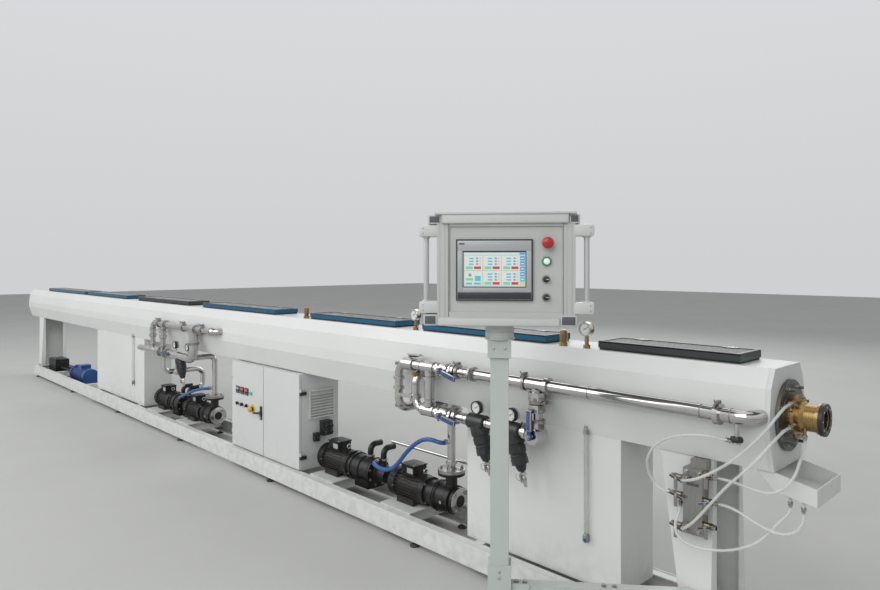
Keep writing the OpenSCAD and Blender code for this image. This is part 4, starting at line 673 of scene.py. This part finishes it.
def operator_pipes():
    s = Solid()
    for n in (-1344, -955, -144):
        clamp(s, n, UPPER_Z)
    clamp(s, -1250, UPPER_Z, out=(0, -1, 0.5))
    clamp(s, -1356, LOWER_Z)
    clamp(s, -947, LOWER_Z)
    clamp(s, DROP_N, 840, way=UP, out=AHEAD)
    for n, z in ((VALVE_N, UPPER_Z), (VALVE_N, LOWER_Z)):
        ball_valve(s, n, z)
    for z, places in ((UPPER_Z, (-1700, -1590, -1495, -1300, -1110, -640, -200, -100)),
                      (LOWER_Z, (-1590, -1300, -1160))):
        for n in places:
            weld_ring(s, n, z)
    for z in (870, 760):
        weld_ring(s, TEE_N, z, UP)
    for z in (755, 800, 845):
        s.turn((DROP_N, LINE, z), UP, [(0, 33), (2, 37), (14, 37), (16, 33)], CAST, 8)
    for z in (690, 730, 780, 850, 900):
        s.turn((-1763, LINE, z), UP, [(0, 19), (1, 21), (13, 21), (14, 19)], CAST, 8)
    for z in (725, 800, 860):
        s.turn((-1639, LINE, z), UP, [(0, 17), (1, 18.5), (12, 18.5), (13, 17)], "brass", 6)
    for n in (-1722, -1690, -1656):
        s.turn((n, LINE, UPPER_Z), AHEAD, [(0, 20), (1, 22), (12, 22), (13, 20)], "brass", 6)
    s.rod((-1682, LINE, 930), UP, 18, 6, "zinc", 14)
    s.sweep([(-1682, LINE, 949), (-1664, LINE, 950), (-1640, LINE, 953), (-1600, LINE, 962)], 5, BLACK, 12)
    s.rod((-1639, LINE, 760), SIDE, 26, 6, "zinc", 14)
    s.slab((-1684, LINE - 27, 760), AHEAD, UP, (100, 17, 6), "green_grip", 2.5)
    star_knob(s, (-84, LINE, 858), DOWN, 21)
    s.piece("operator_pipe_fittings", "tank", "pipe_steel")
    front = (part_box("gauges")[0].y - LINE_Y) / MM
    for i, n in enumerate((-1224, -1025)):
        gauge("line_gauge_%d" % (i + 1), (n, front, GAUGE_Z), rim=BLACK)
    for i, n in enumerate((-4469, -4236)):
        gauge("outlet_gauge_%d" % (i + 1), (n, front, OUT_GAUGE_Z), rim=BLACK)
    f = Solid()
    tilt = math.radians(18)
    way = Vector((math.sin(tilt), 0, -math.cos(tilt)))
    for n, z in ((-1224, LOWER_Z), (-1025, LOWER_Z), (-4393, OUT_LOW_Z)):
        top = Vector((n, LINE, z))
        f.band(top + way * 26, way, 33.5, 14, 2.5, FILTER, 44)
        f.turn(top + way * 12, way, [(0, 30), (4, 39), (46, 39.5), (50, 35), (54, 35), (57, 39), (84, 37),
               (88, 33), (92, 33), (95, 35.5), (118, 32), (122, 28), (146, 22), (160, 16)], FILTER, 48)
        for k in range(10):
            t = math.tau * k / 10
            u = Vector(SIDE) * math.cos(t) + way.cross(Vector(SIDE)) * math.sin(t)
            f.slab(top + way * 37 + u * 38.5, way, u, (36, 5, 5), FILTER, 1.4)
        end = top + way * 176
        f.turn(end, way, [(0, 14), (2, 16), (14, 16), (16, 13)], "zinc", 6)
        f.turn(end + way * 16, way, [(0, 9), (4, 10), (26, 10), (30, 8), (44, 6.5), (46, 4)],
               "gauge_steel", 20)
        f.band(end + way * 30, way, 10, 5, 1.5, "brass", 20)
        f.band((n - 42, LINE, z), AHEAD, 24.2, 13, 7, "dial_white")
        loop = [end + way * 22 + Vector((-18 + 14 * math.cos(k), -12, 14 * math.sin(k)))
                for k in [math.tau * j / 20 for j in range(20)]]
        f.sweep(loop, 1.6, "zinc", 8)
        side = end + way * 24 + Vector((0, -10, 0))
        f.rod(side, SIDE, 10, 3, "zinc", 10)
        f.slab(side + Vector((0, -11, 0)), way, AHEAD, (30, 8, 3), "zinc", 1)
    f.piece("filter_details", "tank", "filter_plastic")


def levers():
    """Vinyl sleeve with ribs, and stem nut, on each blue lever."""
    for name, n, z, way in (("lever_upper", VALVE_N, UPPER_Z, math.radians(-14)),
                            ("lever_lower", VALVE_N, LOWER_Z, math.radians(-10)),
                            ("lever_drop", DROP_N, LOWER_Z, math.pi / 2)):
        s = Solid()
        ray = Vector((math.cos(way), 0, math.sin(way)))
        across = ray.cross(Vector(SIDE))
        hub = Vector((n, -266, z))
        s.bolt(hub, SIDE, 14, 4)
        lo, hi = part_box(name)
        middle = (lo + hi) / 2 - point(n, -262, z)
        if middle.dot(ray) < 0:
            ray, across = -ray, -across
        s.slab(Vector((n, -262, z)) + ray * 68, ray, across, (86, 26, 13), "lever_blue", 4)
        for k in range(6):
            s.slab(Vector((n, -269, z)) + ray * (40 + 11 * k), ray, across, (4, 20, 1.6),
                   "lever_blue", 0.6)
        s.piece(name + "_grip", name, "lever_blue")


def outlet_pipes():
    s = Solid()
    for n, z in ((-4800, UPPER_Z), (-4320, UPPER_Z), (-3990, UPPER_Z)):
        clamp(s, n, z)
    clamp(s, -4560, OUT_LOW_Z, out=(0, -1, 0.4))
    clamp(s, -4149, 800, way=UP, r=34.5, out=SIDE)
    for n, z in ((-4880, UPPER_Z), (-4640, UPPER_Z), (-4210, UPPER_Z), (-4090, UPPER_Z), (-5150, OUT_LOW_Z),
                 (-4870, OUT_LOW_Z)):
        weld_ring(s, n, z)
    for n in (-4936, -4726):
        for z in (720, 790, 860):
            s.turn((n, LINE, z), UP, [(0, 22), (1, 24), (13, 24), (14, 22)], CAST, 8)
    ball_valve(s, -4640, OUT_LOW_Z)
    s.slab((-4600, LINE - 52, 692), AHEAD, UP, (110, 20, 8), "lever_blue", 3)
    s.piece("outlet_pipe_fittings", "tank", "pipe_steel")


def level_tubes():
    s = Solid()
    for n in (-710, -5604):
        for z in (316, 728):
            s.turn((n, -134, z), UP, [(0, 12), (1, 13), (15, 13), (16, 12)], "zinc", 6)
            s.rod((n, -122, z + 8), SIDE, 14, 6, "zinc", 16)
        s.turn((n, -134, 300), UP, [(0, 9), (16, 10)], "lever_blue", 18)
    s.piece("level_tube_fittings", "tank", "valve_steel")


def cabinet():
    x0, face = CABINET_LEFT, DOOR_FACE
    s = Solid()
    for i in range(3):
        a = x0 + 60 + i * 62
        s.box((a, face - 6, 507), (a + 48, face, 555), BLACK, 2)
        s.box((a + 6, face - 7, 532), (a + 42, face - 5.6, 549), "cell_red" if i else "cell_grey", 0.3)
        s.box((a + 4, face - 6.6, 529), (a + 44, face - 5.9, 551), "screen_glass", 0.3)
        for k in range(4):
            s.box((a + 6 + k * 9.5, face - 7.4, 512), (a + 13 + k * 9.5, face - 5.8, 517), "cell_grey", 0.5)
        n = x0 + 92 + i * 64
        s.turn((n, face, 438), SIDE, [(0, 15), (3, 15), (5, 13)], "gauge_steel", 32)
        s.turn((n, face - 4, 438), SIDE, [(0, 11.5), (9, 11), (10, 9.5)], BLACK, 32)
        lean = Vector((math.sin(0.6 * (i - 1)), 0, math.cos(0.6 * (i - 1))))
        over = lean.cross(Vector(SIDE))
        s.slab((n, face - 18, 438), lean, over, (23, 6, 10), BLACK, 1.5)
        s.slab(Vector((n, face - 23.2, 438)) + lean * 7, lean, over, (7, 1.4, 0.6), "dial_white", 0)
    lamp = (x0 + 60 + 3 * 62 + 24, face, 531)
    s.turn(lamp, SIDE, [(0, 16.5), (4, 16.5), (6, 14)], "gauge_steel", 32)
    s.turn(along(lamp, SIDE, 4), SIDE, [(0, 13), (6, 12.5), (10, 9), (12, 0)], "lens_green", 32)
    stop = (x0 + 290, face, 426)
    s.turn(stop, SIDE, [(0, 30), (1.6, 30), (2.2, 29)], "ring_yellow", 48)
    s.turn(along(stop, SIDE, 2), SIDE, [(0, 15), (12, 14.5)], BLACK, 28)
    s.turn(along(stop, SIDE, 13), SIDE, [(0, 14), (3, 18.5), (8, 20), (16, 19), (21, 14), (24, 0)],
           "ring_yellow", 40)
    s.piece("door_controls_detailed", "door_left", "black_plastic", "door_controls")
    s = Solid()
    s.box((-3234, face - 7, 372), (-3210, face, 461), BLACK, 3)
    s.turn((-3222, face - 5, 417), SIDE, [(0, 12), (10, 11.5), (13, 10)], BLACK, 28)
    s.sweep([(-3222, face - 14, 417), (-3238, face - 21, 416), (-3255, face - 22, 413),
             (-3289, face - 20, 408)], 6.2, BLACK, 14)
    s.turn((-3222, face - 18, 417), SIDE, [(0, 7), (1.2, 6.4)], "zinc", 20)
    s.turn((-3222, face - 7, 386), SIDE, [(0, 7.5), (1.5, 7)], "zinc", 20)
    s.piece("door_handle_detailed", "door_left", "black_plastic", "door_handle")
    s = Solid()
    for z in (614, 220):
        for n, k in ((CABINET_RIGHT, 1), (CABINET_LEFT, -1)):
            for q in (-12, 12):
                s.screw((n + k * 0.5, -120, z + q), (k, 0, 0), 3.2)
    for y, z in ((-84, 448), (84, 448), (-84, 612), (84, 612)):
        s.screw((CABINET_RIGHT + 14, y, z), AHEAD, 3.4)
    for y in range(-50, 70, 24):
        s.box((CABINET_RIGHT + 13.5, y - 1, 446), (CABINET_RIGHT + 14.6, y + 1, 614), "cabinet_paint", 0.2)
    for y, z, r, base in ((8, 352, 15, 45), (42, 352, 15, 45), (8, 392, 15, 45), (42, 392, 15, 45),
                          (-42, 324, 10, 30)):
        s.turn((CABINET_RIGHT + base, y, z), AHEAD, [(0, r), (5, r), (6, r - 2), (9, r - 3)], BLACK, 6)
        s.turn((CABINET_RIGHT + base + 8, y, z), AHEAD,
               [(0, r - 3), (8, r - 4), (13, r - 7), (13, r - 9), (4, r - 9)], BLACK, 24, closed=True)
    for n in (-3600, -2790):
        for y in (-100, 100):
            s.bolt((n, y, 724), UP, 12)
    s.piece("cabinet_details", "tank", "cabinet_paint")


def motor(s, n):
    """Fan grille, terminal box, plate, bolts and eye of one motor."""
    z = SHAFT_Z
    for r in (18, 31, 44, 57, 68):
        s.band((n - 0.5, 0, z), AHEAD, r, 3, 2.0, "motor_paint", 44)
    for i in range(8):
        t = math.tau * i / 8
        ray = (0, math.cos(t), math.sin(t))
        s.slab((n - 1, 44 * ray[1], z + 44 * ray[2]), ray, AHEAD, (54, 2.2, 3), "motor_paint", 0)
    s.box((n + 76, -50, 330), (n + 184, 50, 338), "motor_paint", 2.5)
    for a in (n + 84, n + 176):
        for y in (-42, 42):
            s.screw((a, y, 338), UP, 4)
    s.turn((n + 108, -46, 300), SIDE, [(0, 13), (7, 13)], BLACK, 6)
    s.turn((n + 108, -53, 300), SIDE, [(0, 10), (10, 9), (14, 7)], BLACK, 20)
    s.box((n + 126, -48.2, 294), (n + 172, -45.5, 322), "bezel_silver", 0.4)
    s.ring_of_bolts((n + MOTOR_L, 0, z), AHEAD, 66, 4, 10)
    s.ring_of_bolts((n + 48, 0, z), AHEAD, 79, 4, 7, 0)
    s.band((n + 46, 0, z), AHEAD, 78, 6, 1.6, "motor_paint", 56)
    s.turn((n + 222, 0, z + 76), UP, [(0, 9), (6, 8)], "motor_paint", 18)
    turns = [math.tau * k / 20 for k in range(21)]
    s.sweep([(n + 222, 12 * math.cos(t), z + 94 + 12 * math.sin(t)) for t in turns], 3.6, "zinc", 10)


def pumps():
    for i, n in enumerate(WATER_PUMPS):
        s = Solid()
        motor(s, n)
        s.ring_of_bolts((n + 415, 0, 371), UP, 54, 4, 15, stud=6)
        s.turn((n + 415, 0, 356), UP, [(0, 60), (0, 70), (14, 70), (15, 68), (15, 24), (12, 24)],
               CAST, 48, closed=True)
        s.turn((n + 475, 0, SHAFT_Z), AHEAD, [(0, 66), (2, 66), (3, 64), (3, 30), (0, 30)],
               "pipe_steel", 48, closed=True)
        s.ring_of_bolts((n + 478, 0, SHAFT_Z), AHEAD, 52, 4, 15, stud=6)
        s.ring_of_bolts((n + 350, 0, SHAFT_Z), ASTERN, 70, 8, 9)
        s.band((n + 352, 0, SHAFT_Z), AHEAD, 77.6, 7, 3, "pump_iron", 56)
        s.turn((n + 415, -76, SHAFT_Z), SIDE, [(0, 9), (6, 9)], "zinc", 6)
        s.piece("water_pump_details_%d" % (i + 1), "tank", "pump_iron")
    for i, n in enumerate(VACUUM_PUMPS):
        s = Solid()
        motor(s, n)
        for d in (286, 486):
            s.band((n + d, 0, SHAFT_Z), AHEAD, 79.6, 10, 3.4, "pump_iron", 56)
        s.ring_of_bolts((n + 504, 0, SHAFT_Z), AHEAD, 68, 8, 10)
        s.turn((n + 504, 0, SHAFT_Z), AHEAD, [(0, 44), (6, 43), (9, 36), (10, 0)], "pump_iron", 44)
        for a in (431, 549):
            s.turn((n + a, 0, 300), UP, [(0, 24), (1, 26), (9, 26), (10, 24)], CAST, 8)
        s.piece("vacuum_pump_details_%d" % (i + 1), "tank", "pump_iron")
    s = Solid()
    for d in range(0, 400, 26):
        s.band((-7660 + d, 0, 148), AHEAD, 84.2, 5, 2.6, "blue_paint", 56)
    s.ring_of_bolts((-7700, 0, 148), ASTERN, 76, 6, 10)
    s.box((-7520, -52, 228), (-7410, 52, 262), "blue_paint", 4)
    for a in (-7510, -7420):
        for y in (-42, 42):
            s.screw((a, y, 262), UP, 4)
    s.ring_of_bolts((-8460, 0, 236), UP, 58, 6, 12)
    s.piece("travel_drive_details", "tank", "blue_paint")


def stand():
    s = Solid(panel_point)
    for x in (-126, 126):
        for y in (-126, 126):
            s.bolt((x, y, 12), UP, 19, 8)
    for z in (30, 60, 300, 322):
        s.screw((0, POST_FACE, z), SIDE, 5)
    for x in (-20, 20):
        s.screw((x, POST_FACE, 1108), SIDE, 4.5)
    s.turn((0, 0, 1141), UP, [(-3, 52), (-3, 54), (2, 54), (2, 50)], "stand_paint", 48, closed=True)
    for d, z in ((60, 270), (90, 270), (365, 270), (402, 270)):
        s.bolt((d, 0, z), UP, 13)
    s.piece("stand_bolts", "tank", "stand_paint")


def panel():
    s = Solid(panel_point)
    # profile ribs, top visor and bottom bar of the housing
    for x in (-206, -188, 228, 246):
        s.box((x - 1.5, -101, 1206), (x + 1.5, -99.5, 1568), "panel_paint", 0.7)
    # The visor, top cap and bottom bar take the lit copy of the panel paint: a painted highlight.
    s.box((-198, -112, 1545), (236, -30, 1583), "panel_paint_lit", 5)
    s.box((-222, -116, 1576), (262, -60, 1584), "panel_paint_lit", 3)
    s.box((-212, -106, 1192), (206, -40, 1222), "panel_paint_lit", 5)
    for x0, x1, z0, z1 in ((207, 264, 1192, 1232), (-262, -213, 1192, 1232), (237, 274, 1543, 1577),
                           (-246, -199, 1543, 1577)):
        s.box((x0, -102.6, z0), (x1, 34, z1), "corner_grey", 6)
    # back door, its lock and hinges
    s.box((-196, 40, 1212), (240, 45, 1564), "panel_paint", 2)
    s.turn((214, 45, 1390), REAR, [(0, 11), (5, 10), (6, 8)], BLACK, 24)
    for z in (1260, 1390, 1520):
        s.rod((-199, 42, z - 22), UP, 44, 4.5, "zinc", 14)
    s.piece("panel_trim", "panel", "panel_paint")

    # The grip ears take the lit copy of the panel paint as well: painted light.
    s = Solid(panel_point)
    for x0, x1, x in ((-278, -208, -254), (252, 322, 298)):
        for z0, z1 in ((1234, 1276), (1500, 1542)):
            s.box((x0, -102, z0), (x1, -56, z1), "panel_paint_lit", 9)
            s.turn((x, -80, 1276 if z0 < 1300 else 1500), UP, [(-4, 13), (-3, 14), (3, 14), (4, 13)],
                   "panel_paint_lit", 28)
            for z in (z0 + 12, z1 - 12):
                s.screw((x0 + 14 if x < 0 else x1 - 14, -101.8, z), SIDE, 3)
        s.rod((x, -80, 1270), UP, 236, 9.5, "grip_steel", 28)
    s.piece("panel_grips_detailed", "panel", "grip_steel", "panel_grips")

    s = Solid(panel_point)
    for x0, x1, z0, z1 in ((-143, 110, 1451, 1486), (-143, -125, 1310, 1451), (93, 110, 1310, 1451),
                           (-125, 93, 1310, 1325)):
        s.box((x0, -103.2, z0), (x1, -101.6, z1), "bezel_silver", 0.5)
    s.box((-143, -103.6, 1284), (110, -101.6, 1309), "screen_glass", 0.8)
    s.box((-138, -103.9, 1473), (-118, -103.1, 1478), "screen_glass", 0.2)
    x_left, x_right, z_low, z_high = -122, 90, 1328, 1446
    front = -99.9
    s.box((x_left, front, z_low), (x_right, -98.8, z_high), "cell_pale", 0)

    def cell(x0, x1, z0, z1, tint, lift=0.3):
        s.box((x0, front - lift, z0), (x1, front, z1), "cell_" + tint, 0)

    cell(x_left + 2, x_right - 22, z_high - 8, z_high - 1.5, "white")
    cell(x_right - 20, x_right - 2, z_high - 8, z_high - 1.5, "blue")
    for k in range(5):
        cell(x_right - 18, x_right - 2, z_high - 28 - k * 18, z_high - 13 - k * 18,
             "blue" if k < 4 else "cyan")
        cell(x_right - 15, x_right - 5, z_high - 22.5 - k * 18, z_high - 19 - k * 18, "white", 0.5)
    cell(x_right - 18, x_right - 2, z_low + 2, z_low + 12, "yellow")
    wide, high = 62, 51
    for row in range(2):
        for col in range(3):
            a = x_left + 3 + col * (wide + 2)
            b = z_low + 3 + (1 - row) * (high + 2.5)
            cell(a, a + wide, b, b + high, "yellow")
            cell(a + 1.2, a + wide - 1.2, b + 1.2, b + high - 1.2, "white", 0.5)
            if row == 1 and col == 0:
                cell(a + 5, a + 30, b + 18, b + 26, "mint", 0.8)
                cell(a + 36, a + 56, b + 16, b + 34, "cyan", 0.8)
                cell(a + 14, a + 24, b + 32, b + 42, "grey", 0.8)
                cell(a + 5, a + 26, b + 4, b + 11, "cyan", 0.8)
                cell(a + 32, a + 56, b + 4, b + 11, "cyan", 0.8)
                continue
            for k in range(3):
                cell(a + 16, a + 32, b + 18 + k * 10, b + 23 + k * 10, "cyan", 0.8)
                cell(a + 40, a + 47, b + 18 + k * 10, b + 24 + k * 10, "grey", 0.8)
                cell(a + 50, a + 57, b + 18 + k * 10, b + 24 + k * 10, "pale", 0.8)
            cell(a + 5, a + 29, b + 4, b + 13, "mint", 0.8)
            cell(a + 33, a + 57, b + 4, b + 13, "red", 0.8)
    s.piece("touch_screen", "panel", "screen_glass")

    s = Solid(panel_point)
    plate = -94
    s.turn((165, plate, 1478), SIDE, [(0, 15), (3, 15), (4, 13), (15, 13)], BLACK, 32)
    s.turn((165, plate - 12, 1478), SIDE,
           [(0, 13), (3, 18.5), (8, 20), (14, 19.5), (18, 16), (20.5, 9), (21, 0)], "button_red", 44)
    s.turn((162, plate, 1415), SIDE, [(0, 16), (6, 16), (9, 14), (9, 11), (0, 11)],
           "ring_green", 40, closed=True)
    s.turn((162, plate - 1, 1415), SIDE, [(0, 10.8), (8, 10.8), (11, 8), (12, 0)], "lens_white", 36)
    ray = Vector(AHEAD)
    for z in (1353.5, 1292):
        s.turn((160, plate, z), SIDE, [(0, 15), (3, 15), (6, 13), (6, 11), (0, 11)],
               "gauge_steel", 40, closed=True)
        s.turn((160, plate - 1, z), SIDE, [(0, 11), (9, 10.6), (10, 9)], BLACK, 36)
        s.slab((160, plate - 14, z), ray, ray.cross(Vector(SIDE)), (22, 6.5, 9), BLACK, 1.6)
        s.slab((164, plate - 18.8, z), ray, ray.cross(Vector(SIDE)), (10, 2, 0.6), "dial_white", 0)
    s.piece("panel_controls", "panel", "button_red", "panel_buttons")


def dress_nodes():
    for name, obj in NODES.items():
        obj.data.materials.clear()
        obj.data.materials.append(MATERIALS["lid_dark" if name in DARK_LIDS else SLOT_OF[name]])


def make_stage():
    bpy.ops.mesh.primitive_plane_add(size=FLOOR_SIZE, location=(0, 0, 0))
    floor = bpy.context.object
    floor.name = "floor"
    floor.data.materials.append(surface("floor_grey", (0.52, 0.52, 0.50), 0.75, tone=0.05, tone_scale=0.6,
                                        grain=0.1, grain_scale=40))
    world = bpy.data.worlds.new("studio")
    bpy.context.scene.world = world
    world.use_nodes = True
    nodes, links = world.node_tree.nodes, world.node_tree.links
    lit = nodes["Background"]
    lit.inputs["Color"].default_value = (0.88, 0.91, 0.94, 1)
    lit.inputs["Strength"].default_value = WORLD_STRENGTH
    # What the camera, gloss and glass see: pale low down, a bright band of windows, a darker roof.
    shown = nodes.new("ShaderNodeBackground")
    coord = nodes.new("ShaderNodeTexCoord")
    height = nodes.new("ShaderNodeSeparateXYZ")
    ramp = nodes.new("ShaderNodeValToRGB")
    links.new(coord.outputs["Generated"], height.inputs[0])
    links.new(height.outputs["Z"], ramp.inputs["Fac"])
    stops = ((0.0, 0.62), (0.40, 0.72), (0.50, 0.90), (0.69, 0.86), (0.72, 0.14), (0.90, 0.10), (0.93, 0.9),
             (1.0, 0.9))
    ramp.color_ramp.elements[0].color = (0.62, 0.63, 0.64, 1)
    ramp.color_ramp.elements[1].color = (0.90, 0.91, 0.92, 1)
    for place, tint in stops[1:-1]:
        ramp.color_ramp.elements.new(place).color = (tint * 0.97, tint * 0.985, tint, 1)
    links.new(ramp.outputs["Color"], shown.inputs["Color"])
    path = nodes.new("ShaderNodeLightPath")
    total = path.outputs["Is Camera Ray"]
    for ray in ("Is Glossy Ray", "Is Transmission Ray"):
        both = nodes.new("ShaderNodeMath")
        both.operation = "MAXIMUM"
        links.new(total, both.inputs[0])
        links.new(path.outputs[ray], both.inputs[1])
        total = both.outputs[0]
    choose = nodes.new("ShaderNodeMixShader")
    links.new(total, choose.inputs[0])
    links.new(lit.outputs[0], choose.inputs[1])
    links.new(shown.outputs[0], choose.inputs[2])
    links.new(choose.outputs[0], nodes["World Output"].inputs["Surface"])
    for name, spot, aim, size, power in (
            ("key", (5.0, -6.5, 6.0), (2.0, 0.0, 0.6), 7.0, 330),
            ("fill", (-4.5, -7.0, 6.0), (-2.5, 0.0, 0.6), 8.0, 420),
            ("back", (-1.0, 7.0, 6.5), (-0.5, 0.0, 0.6), 8.0, 330)):
        data = bpy.data.lights.new(name, "AREA")
        data.size, data.energy = size, power
        lamp = bpy.data.objects.new(name, data)
        bpy.context.scene.collection.objects.link(lamp)
        lamp.location = spot
        lamp.rotation_euler = (Vector(aim) - Vector(spot)).to_track_quat("-Z", "Y").to_euler()


make_camera()
hoses()
dress_nodes()
for region in (lids, deck, die_end, valve_block, operator_pipes, levers, outlet_pipes, level_tubes,
               cabinet, pumps, stand, panel):
    region()
make_stage()
bpy.context.scene.view_settings.view_transform = "Standard"
